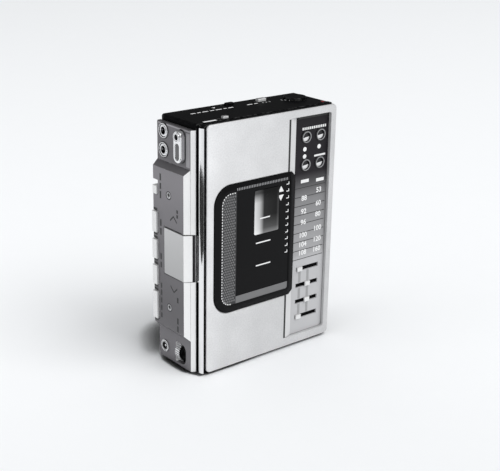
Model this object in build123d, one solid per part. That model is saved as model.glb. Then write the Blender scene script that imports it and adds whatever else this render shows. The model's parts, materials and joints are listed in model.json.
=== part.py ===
"""Pocket radio cassette player, standing upright, as separate pieces.

Pieces are drawn from the lower left corner of the front plate's face: X runs right,
Y runs to the rear and Z runs up. Each is then moved to the part's own frame, whose origin
is in the middle of the box that the feet stand in. All sizes are in millimetres.
"""

from build123d import *
from math import acos, atan2, cos, hypot, pi, sin, tan
import os

# Front plate and door
PLATE_W = 76.25
PLATE_H = 117.0
PLATE_T = 1.0
PLATE_CORNER_R = 2.3
PLATE_EDGE_R = 0.45
DOOR_T = 3.3
DOOR_RIM_LEFT = 1.4
DOOR_RIM_RIGHT = 0.3
DOOR_RIM_LOW = 0.7
PARTING = 1.8
LIP_INSET = 0.5
LIP_T = 1.0
LIP_GAP = 0.15
LINER_T = 0.7
LINER_INSET = 3.0
SPRING_OFF = 10.0
SPRING_L = 16.0
SPRING_BOW = 1.6
SPRING_T = 0.4
SPRING_W = 5.0
TRIM_STEP = 0.8
TRIM_R = 0.35
TRIM_CROWN_R = 3.0

# Hinge on the right edge of the door
HINGE_INSET = 0.95
HINGE_BEHIND_DOOR = 0.9
KNUCKLE_R = 0.8
PIN_R = 0.4
PIN_LEN = 5.0
EAR_T = 1.4
RUNNING = 0.05
SEAT = 0.02
END_GAP = 0.2

# Cassette window
WINDOW_LEFT = 4.2
WINDOW_OVER = 3.7
WINDOW_LOW = 27.4
WINDOW_HEAD = 28.5
WINDOW_PROUD = 0.6
WINDOW_CORNER_R = 9.0
WINDOW_CHAMFER = 2.2
WINDOW_EDGE = 0.1
WINDOW_LEAD = 0.45
WINDOW_BEVEL = 2.4
PANE_LEFT = 16.3
PANE_SIDE = 3.3
PANE_FOOT = 7.2
PANE_HEAD = 1.9
PANE_SINK = 0.3
BAND_INSET = 3.7
BAND_SINK = 0.15
RIB_PITCH = 0.7
RIB_H = 1.1
LENS_SIDE = 6.7
LENS_W = 14.7
LENS_HEAD = 3.3
LENS_H = 21.3
LENS_R = 0.8
LENS_LEDGE = 0.8
LENS_SINK = 0.15
FIT_GAP = 0.1
OVER = 1.0

# Tuner panel in the recess at the right of the front
RECESS_SIDE = 3.25
RECESS_W = 25.3
RECESS_LOW = 4.3
RECESS_HEAD = 3.4
RECESS_R = 1.2
RECESS_DEPTH = 1.7
COLLAR_T = 0.5
RECESS_BEVEL = 4.8
BEVEL_STEP = 0.15
PANEL_T = 0.8
BOARD_INSET = 5.6
TRIMMER_IN = (11.3, 20.2)
TRIMMER_DROP = (13.8, 27.2)
TRIMMER_R = 2.2
TRIMMER_GAP = 0.1
TRIMMER_SINK = 0.35
TRIMMER_SLOT = 0.6
BEZEL_R = 2.9
BEZEL_T = 0.55
SLOT_IN = 7.6
SLOT_W = 14.3
SLOT_H = 2.2
SLIDER_Z = (37.8, 29.3, 20.9, 12.8)
SLIDER_IN = (9.5, 14.8, 14.8, 9.5)
SLIDER_W = 3.2
SLIDER_PROUD = 0.9
SLIDER_STEM_W = 1.8

# Body behind the door
BODY_STEP_LEFT = 2.2
BODY_STEP_RIGHT = 0.55
BODY_STEP_LOW = 0.5
BODY_DEPTH = 26.3
BODY_WALL = 1.5
BODY_EDGE_R = 1.2
REAR_T = 1.6
REAR_EDGE_R = 1.2
LEDGE_W = 2.0
LEDGE_T = 1.4
LABEL_W = 34.0
LABEL_H = 20.0
LABEL_R = 1.5
LABEL_SINK = 0.2
FOOT_L = 13.0
FOOT_D = 5.0
FOOT_T = 1.0
FOOT_INSET = 2.0
FOOT_R = 1.2

# Left side panel, key block and what they carry
PANEL_PROUD = 2.0
PANEL_TOP_STEP = 2.7
RIM_RUN = 1.3
BLOCK_PROUD = 2.6
BLOCK_RIM_RUN = 1.8
BLOCK_LOW = 17.5
BLOCK_HEAD = 23.0
BLOCK_SLOPE = 2.6
BLOCK_SCREW_Y = 19.4
BLOCK_SCREW_INSET = (11.6, 10.7)
SCREW_R = 1.6
SCREW_HEAD_T = 0.5
SCREW_CROSS = 1.4
SCREW_SHANK_R = 0.6
PLAY_AT = 0.354
PLAY_SHARE = 0.288
PLAY_REAR = 22.6
PLAY_PROUD = 0.35
PLAY_DEEP = 3.5
PLAY_TRAVEL = 1.0
KEY_GAP = 0.3
KEY_EDGE_R = 0.5
KEY_AT = (0.591, 0.423, 0.255, 0.031)
KEY_SHARE = (0.131, 0.122, 0.124, 0.178)
KEY_DEPTH = 3.4
KEY_PROUD = 1.0
KEY_TRAVEL = 0.8
HOLD_AT = 0.83
HOLD_H = 4.0
HOLD_TRAVEL = 2.4
HOLD_PROUD = 0.7

# Sockets on the side panel
JACK_Y = 26.4
JACK_DROP = (6.6, 15.3)
JACK_BORE_R = 1.8
JACK_RING_R = 3.35
JACK_RING_T = 0.45
RING_LIP = 0.3
RING_COLLAR = 0.35
RING_GROOVE = 0.3
JACK_BARREL_R = 2.9
JACK_LEN = 14.0
JACK_BORE_LEN = 12.0
TURRET_Y = 13.0
TURRET_W = 5.6
TURRET_H = 14.5
TURRET_PROUD = 2.5
TURRET_RIM = 1.2
TURRET_SINK = 0.4
REMOTE_BORE_R = 1.3
REMOTE_RING_R = 2.2
REMOTE_BARREL_R = 1.8
REMOTE_LEN = 9.0
REMOTE_BORE_LEN = 7.5
DC_Y = 26.7
DC_Z = 5.6
DC_RING_R = 2.9
DC_BORE_R = 1.75
DC_PIN_R = 0.6
DC_LEN = 11.0
DC_BORE_LEN = 8.0

# Volume wheel in its scoop at the foot of the side panel
WHEEL_R = 5.2
WHEEL_T = 3.2
WHEEL_Y = 14.6
WHEEL_Z = 5.9
WHEEL_PROUD = 1.0
WHEEL_GAP = 0.3
WHEEL_BORE_R = 1.0
WHEEL_RIB_R = 0.3
WHEEL_RIBS = 30
SCOOP_FRONT = 10.3
SCOOP_H = 10.2
SCOOP_FRONT_R = 3.2
SCOOP_REAR_R = 0.9
POT_W = 6.4
POT_H = 9.6
POT_T = 3.0

# Controls on the top
TOP_SLOT_W = 1.6
EJECT_X = 15.0
EJECT_Y = 7.2
EJECT_L = 3.0
EJECT_W = 2.2
EJECT_PROUD = 1.1
EJECT_TRAVEL = 3.0
BAND_IN = 42.75
BAND_Y = 27.6
BAND_L = 4.5
BAND_W = 2.2
BAND_PROUD = 1.0
BAND_TRAVEL = 3.0
MODE_IN = 25.75
MODE_Y = 25.0
MODE_L = 5.0
MODE_W = 2.6
MODE_PROUD = 1.4
MODE_TRAVEL = 4.0
STEM_L = 2.0
STEM_DEEP = 2.4
DIAL_INSET = 9.3
DIAL_Y = 20.0
DIAL_R = 5.5
DIAL_PROUD = 1.2
DIAL_SUNK = 0.6
DIAL_RIBS = 36
DIAL_RIB_R = 0.25
DIAL_SHAFT_R = 1.2
LED_INSET = 3.0
LED_Y = 7.4
LED_R = 0.8
LED_PROUD = 0.3

# Battery bay for two cells end to end, and its lid
BAY_W = 15.0
BAY_FRONT = 16.0
BAY_WALL = 0.8
BAY_HEAD = 10.5
CONTACT_T = 0.4
CONTACT_W = 9.0
CONTACT_R = 3.5
CONTACT_COIL_T = 1.6
LID_GAP = 0.15
LID_TONGUE = 0.8
LID_TONGUE_T = 0.6
LID_MARGIN = 0.8
LID_RIB = 2.0

# Cassette well and tape drive
CASSETTE_H = 100.4
WELL_LEFT = 5.0
HUB_LINE = 29.3
HUB_PITCH = 42.5
DECK_DEPTH = 12.4
DECK_T = 1.0
DECK_GAP = 0.15
SPINDLE_R = 2.6
SPINDLE_TIP_R = 1.5
SPINDLE_LEN = 9.0
SPINDLE_FIN = 0.7
SPINDLE_BASE = 3.0
FIN_LEN = 7.2
SPINDLE_AXLE_R = 1.0
REEL_GEAR_R = 7.0
REEL_GEAR_T = 1.5
REEL_TEETH = 28
REEL_TOOTH_R = 0.45
BUSH_R = 2.2
BUSH_T = 1.2
BUSH_BEHIND = 1.4
CAPSTAN_LINE = 4.6
CAPSTAN_PITCH = 62.0
CAPSTAN_R = 1.0
CAPSTAN_LEN = 9.5
FLYWHEEL_R = 9.3
FLYWHEEL_T = 3.0
FLYWHEEL_BEHIND = 1.8
MOTOR_INSET = 12.5
MOTOR_R = 9.0
MOTOR_LEN = 4.5
MOTOR_POST_R = 0.9
MOTOR_POST_CIRCLE = 7.2
PULLEY_R = 3.0
PULLEY_FLANGE = 0.5
MOTOR_SHAFT_R = 0.8
GUIDE_X = 27.0
GUIDE_DROP = 45.5
GUIDE_R = 2.6
GUIDE_PIN_R = 0.9
BELT_T = 0.8
BELT_W = 1.6
BELT_GAP = 0.1
HEAD_W = 4.4
HEAD_D = 6.0
HEAD_H = 12.0
HEAD_LEFT = 0.6
HEAD_TRAVEL = 1.6
HEAD_NOSE_R = 6.5
SLED_T = 0.9
SLED_W = 5.4
SLED_LEFT = 0.1
SLED_H = 74.0
ROLLER_R = 2.8
ROLLER_T = 6.0
ROLLER_PIN_R = 0.8
ROLLER_GAP = 0.3
TAPE_MID = 10.8

# Boards and radio parts inside
MAIN_T = 1.2
MAIN_SIDE = 2.0
MAIN_LEFT = 12.5
MAIN_HEAD = 13.0
MAIN_LOW = 8.5
MAIN_BEHIND = 0.3
CHIP_W = 8.0
CHIP_H = 14.0
CHIP_T = 1.6
ROD_R = 2.8
ROD_L = 38.0
ROD_LEFT = 12.5
ROD_Y = 22.0
ROD_DROP = 5.8
ROD_WALL = 0.8
ROD_CLIP_W = 3.0
TUNER_CAN_W = 13.0
TUNER_CAN_D = 11.0
TUNER_CAN_H = 7.0
REAR_SCREW_INSET = 5.0
REAR_SCREW_R = 1.5
REAR_SCREW_LEN = 5.0
REAR_BOSS_R = 2.4
REAR_BOSS_DEEP = 5.4
BOSS_GAP = 0.4

# Places that follow from the sizes above
recess_left = PLATE_W - RECESS_SIDE - RECESS_W
trimmer_x = [recess_left + inset for inset in TRIMMER_IN]
slot_left = recess_left + SLOT_IN
slider_x = [recess_left + inset for inset in SLIDER_IN]
window_w = recess_left + WINDOW_OVER - WINDOW_LEFT
pane_w = WINDOW_LEFT + window_w - PANE_SIDE - PANE_LEFT
lens_left = PANE_LEFT + pane_w - LENS_SIDE - LENS_W
window_h = PLATE_H - WINDOW_HEAD - WINDOW_LOW
pane_low = WINDOW_LOW + PANE_FOOT
pane_h = window_h - PANE_FOOT - PANE_HEAD
lens_low = pane_low + pane_h - LENS_HEAD - LENS_H
recess_h = PLATE_H - RECESS_HEAD - RECESS_LOW
trimmer_z = [PLATE_H - drop for drop in TRIMMER_DROP]
body_left = -BODY_STEP_LEFT
body_right = PLATE_W + BODY_STEP_RIGHT
body_front = DOOR_T + PARTING
dial_x = body_right - DIAL_INSET
mode_x = PLATE_W - MODE_IN
band_x = PLATE_W - BAND_IN
led_x = body_right - LED_INSET
body_rear = body_front + BODY_DEPTH
body_low = -BODY_STEP_LOW
body_top = PLATE_H
cover_front = body_rear - REAR_T
inner_left = body_left + BODY_WALL
inner_right = body_right - BODY_WALL
inner_low = body_low + BODY_WALL
inner_top = body_top - BODY_WALL
panel_face = body_left - PANEL_PROUD
panel_front = body_front + RIM_RUN
panel_top = PLATE_H - PANEL_TOP_STEP
block_face = panel_face - BLOCK_PROUD
block_h = PLATE_H - BLOCK_HEAD - BLOCK_LOW
block_top = BLOCK_LOW + block_h
block_screw_z = (block_top - BLOCK_SCREW_INSET[0], BLOCK_LOW + BLOCK_SCREW_INSET[1])
play_low = BLOCK_LOW + PLAY_AT * block_h
play_h = PLAY_SHARE * block_h
key_low = [BLOCK_LOW + at * block_h for at in KEY_AT]
key_h = [share * block_h for share in KEY_SHARE]
hold_low = BLOCK_LOW + HOLD_AT * block_h
jack_z = [PLATE_H - drop for drop in JACK_DROP]
block_front = panel_front + BLOCK_RIM_RUN
floor_z = body_low - FOOT_T
hinge_x = PLATE_W + DOOR_RIM_RIGHT - HINGE_INSET
hinge_y = DOOR_T + HINGE_BEHIND_DOOR
deck_front = body_front + DECK_DEPTH
deck_rear = deck_front + DECK_T
deck_right = body_right - BODY_WALL - BAY_W - BAY_WALL
motor_x = deck_right - MOTOR_INSET
main_w = deck_right - MAIN_SIDE - MAIN_LEFT
well_z = PLATE_H / 2
hub_x = WELL_LEFT + HUB_LINE
hub_z = (well_z + HUB_PITCH / 2, well_z - HUB_PITCH / 2)
capstan_x = WELL_LEFT + CAPSTAN_LINE
capstan_z = (well_z + CAPSTAN_PITCH / 2, well_z - CAPSTAN_PITCH / 2)
guide_z = well_z - GUIDE_DROP
wheel_front = deck_rear + FLYWHEEL_BEHIND
wheel_rear = wheel_front + FLYWHEEL_T
belt_front = wheel_front + (FLYWHEEL_T - BELT_W) / 2
belt_rear = belt_front + BELT_W
pulley_front = belt_front - PULLEY_FLANGE
pulley_rear = belt_rear + PULLEY_FLANGE
bay_left = inner_right - BAY_W
bay_low = inner_low
bay_top = inner_top - BAY_HEAD
lid_low = bay_low + LID_MARGIN
lid_top = bay_top - LID_MARGIN
volume_x = panel_face - WHEEL_PROUD + WHEEL_R
rod_z = inner_top - ROD_DROP
main_h = inner_top - MAIN_HEAD - MAIN_LOW
turret_z = jack_z[0] + TURRET_W / 2 - TURRET_H / 2
recess_floor = RECESS_DEPTH
board_front = recess_floor + PANEL_T


def slab(x0, x1, y0, y1, z0, z1):
    """A block between two opposite corners."""
    return Pos((x0 + x1) / 2, (y0 + y1) / 2, (z0 + z1) / 2) * Box(x1 - x0, y1 - y0, z1 - z0)


def drum_x(r, y, z, x0, x1):
    """A cylinder along X."""
    return Pos((x0 + x1) / 2, y, z) * Rot(0, 90, 0) * Cylinder(r, x1 - x0)


def drum_y(r, x, z, y0, y1):
    """A cylinder along Y."""
    return Pos(x, (y0 + y1) / 2, z) * Rot(90, 0, 0) * Cylinder(r, y1 - y0)


def drum_z(r, x, y, z0, z1):
    """A cylinder along Z."""
    return Pos(x, y, (z0 + z1) / 2) * Cylinder(r, z1 - z0)


def facing(y):
    """A drawing plane seen from the front, at depth y."""
    return Plane(origin=(0, y, 0), x_dir=(1, 0, 0), z_dir=(0, -1, 0))


def sheet(outline, y0, y1):
    """An outline drawn in X and Z, as a sheet from depth y0 to y1."""
    return extrude(facing(y1) * outline, y1 - y0)


def rounded(x0, x1, z0, z1, r):
    """A rectangle in X and Z with four equal corners."""
    return Pos((x0 + x1) / 2, (z0 + z1) / 2) * RectangleRounded(x1 - x0, z1 - z0, r)


def prism(points, z0, z1):
    """A polygon in X and Y, drawn out along Z."""
    return extrude(Pos(0, 0, z0) * make_face(Polyline(*points, close=True)), z1 - z0)


def ring(count):
    """The angles, in radians, of evenly spaced features round a wheel."""
    return [2 * pi * i / count for i in range(count)]


def group(solids):
    """Like pieces in one node, each a solid of its own."""
    return Compound(children=list(solids))


pieces = {}


def window_outline(grow):
    """The cassette window: round corners at the left and cut corners at the right."""
    x0 = WINDOW_LEFT - grow
    x1 = WINDOW_LEFT + window_w + grow
    z0 = WINDOW_LOW - grow
    z1 = WINDOW_LOW + window_h + grow
    face = Pos((x0 + x1) / 2, (z0 + z1) / 2) * Rectangle(x1 - x0, z1 - z0)
    face = fillet(face.vertices().group_by(Axis.X)[0], WINDOW_CORNER_R + grow)
    return chamfer(face.vertices().group_by(Axis.X)[-1], WINDOW_CHAMFER + grow * tan(pi / 8))


def recess_outline(shrink):
    """The opening of the tuner recess in the front plate."""
    return rounded(recess_left + shrink, recess_left + RECESS_W - shrink,
                   RECESS_LOW + shrink, RECESS_LOW + recess_h - shrink, RECESS_R)


def lens_opening(grow, y0, y1):
    """A hole for looking through, round the lens."""
    return sheet(rounded(lens_left - grow, lens_left + LENS_W + grow,
                         lens_low - grow, lens_low + LENS_H + grow, LENS_R), y0, y1)


def front_plate():
    """Silver plate of the door, open for the window and the tuner recess."""
    plate = sheet(rounded(0, PLATE_W, 0, PLATE_H, PLATE_CORNER_R), 0, PLATE_T)
    plate = fillet(plate.faces().sort_by(Axis.Y)[0].edges(), PLATE_EDGE_R)
    plate += sheet(recess_outline(-COLLAR_T), PLATE_T, recess_floor)
    plate -= sheet(recess_outline(0), -PLATE_T, 2 * PLATE_T)
    lead_head = facing(0) * window_outline(FIT_GAP + WINDOW_LEAD)
    lead_foot = facing(WINDOW_LEAD) * window_outline(FIT_GAP)
    plate -= loft([lead_head, lead_foot], ruled=True)
    return plate - sheet(window_outline(FIT_GAP), -PLATE_T, 2 * PLATE_T)


def door_frame():
    """Black tray of the door, with the lip that darkens the parting and the hinge knuckle."""
    x0 = -DOOR_RIM_LEFT
    x1 = PLATE_W + DOOR_RIM_RIGHT
    z0 = -DOOR_RIM_LOW
    frame = sheet(rounded(x0, x1, z0, PLATE_H, PLATE_CORNER_R), PLATE_T, DOOR_T)
    frame += slab(x0, -FIT_GAP, PLATE_EDGE_R, PLATE_T, PLATE_CORNER_R, PLATE_H - PLATE_CORNER_R)
    lip_rear = body_front - LIP_GAP
    lip_right = hinge_x - KNUCKLE_R - END_GAP
    lip = slab(x0 + LIP_INSET, lip_right, DOOR_T, lip_rear, z0 + LIP_INSET, PLATE_H - LIP_INSET)
    lip -= slab(x0 + LIP_INSET + LIP_T, lip_right - LIP_T, DOOR_T, lip_rear,
                z0 + LIP_INSET + LIP_T, PLATE_H - LIP_INSET - LIP_T)
    knuckle_low = body_low + EAR_T + END_GAP
    knuckle_top = body_top - EAR_T - END_GAP
    knuckle = drum_z(KNUCKLE_R, hinge_x, hinge_y, knuckle_low, knuckle_top)
    knuckle += slab(hinge_x - KNUCKLE_R, hinge_x + KNUCKLE_R, DOOR_T - PLATE_T, hinge_y,
                    knuckle_low, knuckle_top)
    frame = frame + lip + knuckle
    pin_deep = PIN_LEN - EAR_T + END_GAP
    for low, high in ((knuckle_low, knuckle_low + pin_deep), (knuckle_top - pin_deep, knuckle_top)):
        frame -= drum_z(PIN_R + RUNNING, hinge_x, hinge_y, low, high)
    frame -= sheet(recess_outline(-COLLAR_T), PLATE_T, recess_floor)
    frame -= sheet(recess_outline(0), 0, DOOR_T)
    return frame - lens_opening(0, 0, DOOR_T)


def door_trim():
    """Bright rounded strip on the opening edge of the door, with a finger tab beside the play key."""
    outer = -DOOR_RIM_LEFT - TRIM_STEP
    strip = prism([(-DOOR_RIM_LEFT, PLATE_EDGE_R), (-DOOR_RIM_LEFT, DOOR_T), (outer, DOOR_T),
                   (outer, DOOR_T / 2)], 0, PLATE_H - PLATE_CORNER_R / 2)
    outer_edges = strip.edges().filter_by(Axis.Z).group_by(Axis.X)[0].sort_by(Axis.Y)
    strip = fillet(outer_edges[0], TRIM_CROWN_R)
    strip = fillet(strip.edges().filter_by(Axis.Z).group_by(Axis.X)[0].sort_by(Axis.Y)[-1], TRIM_R)
    return strip + slab(outer + TRIM_R, -DOOR_RIM_LEFT, DOOR_T, body_front - LIP_GAP,
                        play_low, play_low + play_h)


def door_liner():
    """Thin inner skin of the door, open behind the lens."""
    x1 = hinge_x - KNUCKLE_R - END_GAP - LIP_T - FIT_GAP
    liner = slab(LINER_INSET, x1 - LINER_INSET, DOOR_T, DOOR_T + LINER_T,
                 LINER_INSET, PLATE_H - LINER_INSET)
    return liner - lens_opening(0, 0, 2 * DOOR_T)


def cassette_springs():
    """Two bowed leaf springs on the liner that press on the cassette."""
    leaves = []
    for side in (-1, 1):
        z_mid = well_z + side * CASSETTE_H / 3
        y0 = DOOR_T + LINER_T
        x0 = hub_x + SPRING_OFF
        x1 = x0 + SPRING_L
        x_mid = (x0 + x1) / 2
        bow = ThreePointArc((x0, y0), (x_mid, y0 + SPRING_BOW), (x1, y0))
        back = ThreePointArc((x1, y0), (x_mid, y0 + SPRING_BOW - SPRING_T), (x0, y0))
        leaves.append(extrude(Pos(0, 0, z_mid - SPRING_W / 2) * make_face([bow, back]), SPRING_W))
    return group(leaves)


def window_frame():
    """Black moulding of the cassette window with its sunk pane and the lens seat."""
    frame = sheet(window_outline(0), -WINDOW_EDGE, PLATE_T)
    bevel_foot = facing(-WINDOW_EDGE) * window_outline(0)
    bevel_head = facing(-WINDOW_PROUD) * window_outline(-WINDOW_BEVEL)
    frame += loft([bevel_foot, bevel_head], ruled=True)
    frame -= sheet(window_outline(-BAND_INSET), -2 * WINDOW_PROUD, BAND_SINK - WINDOW_PROUD)
    pane_top = pane_low + pane_h
    frame -= slab(PANE_LEFT, PANE_LEFT + pane_w, -2 * WINDOW_PROUD, PANE_SINK - WINDOW_PROUD,
                  pane_low, pane_top)
    ribs = int((pane_w - 2 * RIB_PITCH) / RIB_PITCH)
    starts = [PANE_LEFT + (rib + 1) * RIB_PITCH for rib in range(ribs)]
    frame -= [slab(x, x + RIB_PITCH / 2, -2 * WINDOW_PROUD, BAND_SINK - WINDOW_PROUD,
                   pane_top, pane_top + RIB_H) for x in starts]
    frame -= lens_opening(0, -PLATE_T, PLATE_T - LENS_LEDGE / 2)
    return frame - lens_opening(-LENS_LEDGE, -PLATE_T, 2 * PLATE_T)


def window_lens():
    """Clear lens, seated in the window moulding."""
    y0 = PANE_SINK - WINDOW_PROUD - LENS_SINK
    return lens_opening(-FIT_GAP, y0, PLATE_T - LENS_LEDGE / 2)


def tuner_panel():
    """Panel in the recess: a slope at its left, holes for the trimmers and four slots."""
    x0 = recess_left + FIT_GAP
    x1 = recess_left + RECESS_W - FIT_GAP
    panel = prism([(x0, BEVEL_STEP), (x0 + RECESS_BEVEL, recess_floor), (x1, recess_floor),
                   (x1, board_front), (x0, board_front)],
                  RECESS_LOW + FIT_GAP, RECESS_LOW + recess_h - FIT_GAP)
    panel &= sheet(recess_outline(FIT_GAP), 0, DOOR_T)
    panel -= sheet(window_outline(FIT_GAP), -1, PLATE_T + FIT_GAP)
    for x in trimmer_x:
        for z in trimmer_z:
            panel -= drum_y(TRIMMER_R + TRIMMER_GAP, x, z, 0, board_front)
    for z in SLIDER_Z:
        panel -= slab(slot_left, slot_left + SLOT_W, 0, board_front, z - SLOT_H / 2, z + SLOT_H / 2)
    return panel


def tuner_board():
    """Circuit board behind the tuner panel, which carries the trimmers and switches."""
    return sheet(rounded(recess_left + BOARD_INSET, recess_left + RECESS_W - FIT_GAP,
                         RECESS_LOW + FIT_GAP, RECESS_LOW + recess_h - FIT_GAP, RECESS_R),
                 board_front, DOOR_T)


def preset_trimmer(x, z):
    """Slotted trimmer screw, sunk in its hole."""
    y0 = recess_floor + TRIMMER_SINK
    screw = drum_y(TRIMMER_R, x, z, y0, board_front)
    return screw - slab(x - TRIMMER_R, x + TRIMMER_R, y0, y0 + TRIMMER_SINK / 2,
                        z - TRIMMER_SLOT / 2, z + TRIMMER_SLOT / 2)


def trimmer_bezels():
    """Bright rings round the four trimmer holes."""
    rings = []
    for x in trimmer_x:
        for z in trimmer_z:
            bezel = drum_y(BEZEL_R, x, z, recess_floor - BEZEL_T, recess_floor)
            rings.append(bezel - drum_y(TRIMMER_R + TRIMMER_GAP, x, z, 0, board_front))
    return group(rings)


def preset_slider(x, z):
    """Small switch knob whose stem runs in a slot of the panel."""
    knob = slab(x - SLIDER_W / 2, x + SLIDER_W / 2, recess_floor - SLIDER_PROUD,
                recess_floor - FIT_GAP / 2, z - SLOT_H / 2, z + SLOT_H / 2)
    knob = fillet(knob.faces().sort_by(Axis.Y)[0].edges(), SLIDER_PROUD / 3)
    return knob + slab(x - SLIDER_STEM_W / 2, x + SLIDER_STEM_W / 2, recess_floor - SLIDER_PROUD / 2,
                       board_front, z - SLOT_H / 2 + FIT_GAP, z + SLOT_H / 2 - FIT_GAP)


pieces["front_plate"] = front_plate()
pieces["door_frame"] = door_frame()
pieces["door_trim"] = door_trim()
pieces["door_liner"] = door_liner()
pieces["cassette_springs"] = cassette_springs()
pieces["window_frame"] = window_frame()
pieces["window_lens"] = window_lens()
pieces["tuner_panel"] = tuner_panel()
pieces["tuner_board"] = tuner_board()
pieces["trimmer_bezels"] = trimmer_bezels()
trimmer_spots = [(x, z) for z in trimmer_z for x in trimmer_x]
for number, (x, z) in enumerate(trimmer_spots, 1):
    pieces[f"preset_trimmer_{number}"] = preset_trimmer(x, z)
for number, (x, z) in enumerate(zip(slider_x, SLIDER_Z), 1):
    pieces[f"preset_slider_{number}"] = preset_slider(x, z)


def top_slot(x, y, length, travel):
    """A slot through the top wall for the stem of a slide that moves towards -X."""
    return slab(x - travel - length / 2 - FIT_GAP, x + length / 2 + FIT_GAP,
                y - TOP_SLOT_W / 2, y + TOP_SLOT_W / 2, inner_top, body_top)


def socket_spots():
    """Where the sockets pass through the side panel and the wall: Y, Z and radius."""
    return [(JACK_Y, jack_z[0], JACK_BARREL_R), (JACK_Y, jack_z[1], JACK_BARREL_R),
            (TURRET_Y, jack_z[0], REMOTE_BARREL_R), (DC_Y, DC_Z, DC_RING_R)]


def rear_screw_spots():
    """Where the rear cover is screwed to the body: X and Z."""
    low = body_low + REAR_SCREW_INSET
    high = body_top - REAR_SCREW_INSET
    left = body_left + REAR_SCREW_INSET
    right = bay_left - REAR_SCREW_INSET
    return [(left, low + SCOOP_H), (left, high - 2 * SCOOP_H), (right, low), (right, high)]


def rear_boss(x, z):
    """A screw boss for the rear cover, with a web to the nearest wall."""
    front = cover_front - REAR_BOSS_DEEP
    boss = drum_y(REAR_BOSS_R, x, z, front, cover_front)
    if x < hub_x:
        return boss + slab(inner_left, x, front, cover_front, z - REAR_BOSS_R, z + REAR_BOSS_R)
    end = inner_low if z < well_z else inner_top
    return boss + slab(x - REAR_BOSS_R, x + REAR_BOSS_R, front, cover_front, min(z, end), max(z, end))


def pot_room():
    """The space of the volume control behind its wheel."""
    front = WHEEL_Y + WHEEL_T + WHEEL_GAP
    return slab(inner_left, inner_left + POT_W + FIT_GAP, front, front + POT_T + FIT_GAP,
                inner_low, inner_low + POT_H + FIT_GAP)


def body_shell():
    """Black body: four walls, the deck's ledge, the battery bay and the ears and pins of the hinge."""
    shell = slab(body_left, body_right, body_front, cover_front, body_low, body_top)
    shell = fillet(shell.edges().filter_by(Axis.Y), BODY_EDGE_R)
    shell -= slab(inner_left, inner_right, body_front, cover_front, inner_low, inner_top)
    ledge = slab(inner_left, bay_left - BAY_WALL, deck_rear, deck_rear + LEDGE_T, inner_low, inner_top)
    ledge -= slab(inner_left + LEDGE_W, bay_left - BAY_WALL - LEDGE_W, deck_rear,
                  deck_rear + LEDGE_T, inner_low + LEDGE_W, inner_top - LEDGE_W)
    bay = slab(bay_left - BAY_WALL, inner_right, BAY_FRONT - BAY_WALL, cover_front,
               inner_low, bay_top + BAY_WALL)
    bay -= slab(bay_left, inner_right, BAY_FRONT, cover_front, inner_low, bay_top)
    shell = shell + ledge + bay
    for x, z in rear_screw_spots():
        shell += rear_boss(x, z)
        shell -= drum_y(SCREW_SHANK_R + SEAT, x, z, cover_front - REAR_SCREW_LEN, cover_front)
    ears = [slab(hinge_x - KNUCKLE_R, hinge_x + KNUCKLE_R, hinge_y, body_front + BODY_WALL, low, low + EAR_T)
            + drum_z(KNUCKLE_R, hinge_x, hinge_y, low, low + EAR_T)
            for low in (body_low, body_top - EAR_T)]
    pins = [drum_z(PIN_R, hinge_x, hinge_y, body_low, body_low + PIN_LEN),
            drum_z(PIN_R, hinge_x, hinge_y, body_top - PIN_LEN, body_top)]
    shell = shell + ears[0] + ears[1] + pins[0] + pins[1]
    for y, z, r in socket_spots():
        shell -= drum_x(r + FIT_GAP, y, z, body_left, inner_left + LEDGE_W)
    shell -= drum_y(WHEEL_R + WHEEL_GAP, volume_x, WHEEL_Z, WHEEL_Y - WHEEL_GAP,
                    WHEEL_Y + WHEEL_T + WHEEL_GAP)
    shell -= pot_room()
    shell -= top_slot(EJECT_X, EJECT_Y, STEM_L, EJECT_TRAVEL)
    shell -= top_slot(band_x, BAND_Y, STEM_L, BAND_TRAVEL)
    shell -= top_slot(mode_x, MODE_Y, STEM_L, MODE_TRAVEL)
    shell -= drum_z(DIAL_R + WHEEL_GAP, dial_x, DIAL_Y, body_top - DIAL_SUNK, body_top)
    shell -= drum_z(DIAL_SHAFT_R + WHEEL_GAP, dial_x, DIAL_Y, inner_top, body_top)
    shell -= drum_z(LED_R + SEAT, led_x, LED_Y, inner_top, body_top)
    for y, z in [(BLOCK_SCREW_Y, z) for z in block_screw_z]:
        shell -= drum_x(SCREW_SHANK_R + SEAT, y, z, body_left, inner_left)
    return shell


def rear_cover():
    """Back of the case, with the opening of the battery bay and four screw seats."""
    cover = slab(body_left, body_right, cover_front, body_rear, body_low, body_top)
    cover = fillet(cover.edges().filter_by(Axis.Y), BODY_EDGE_R)
    cover = fillet(cover.faces().sort_by(Axis.Y)[-1].edges(), REAR_EDGE_R)
    cover -= slab(bay_left, body_right, cover_front, body_rear, lid_low, lid_top)
    tongue_rear = cover_front + LID_TONGUE_T + LID_GAP
    cover -= slab(bay_left - LID_TONGUE - LID_GAP, body_right, cover_front, tongue_rear,
                  lid_low - LID_TONGUE - LID_GAP, lid_top + LID_TONGUE + LID_GAP)
    label = rounded(hub_x - LABEL_W / 2, hub_x + LABEL_W / 2,
                    well_z - LABEL_H / 2, well_z + LABEL_H / 2, LABEL_R)
    cover -= sheet(label, body_rear - LABEL_SINK, body_rear)
    for x, z in rear_screw_spots():
        cover -= drum_y(REAR_SCREW_R + FIT_GAP, x, z, body_rear - SCREW_HEAD_T, body_rear)
        cover -= drum_y(SCREW_SHANK_R + SEAT, x, z, cover_front, body_rear)
    return cover


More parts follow.
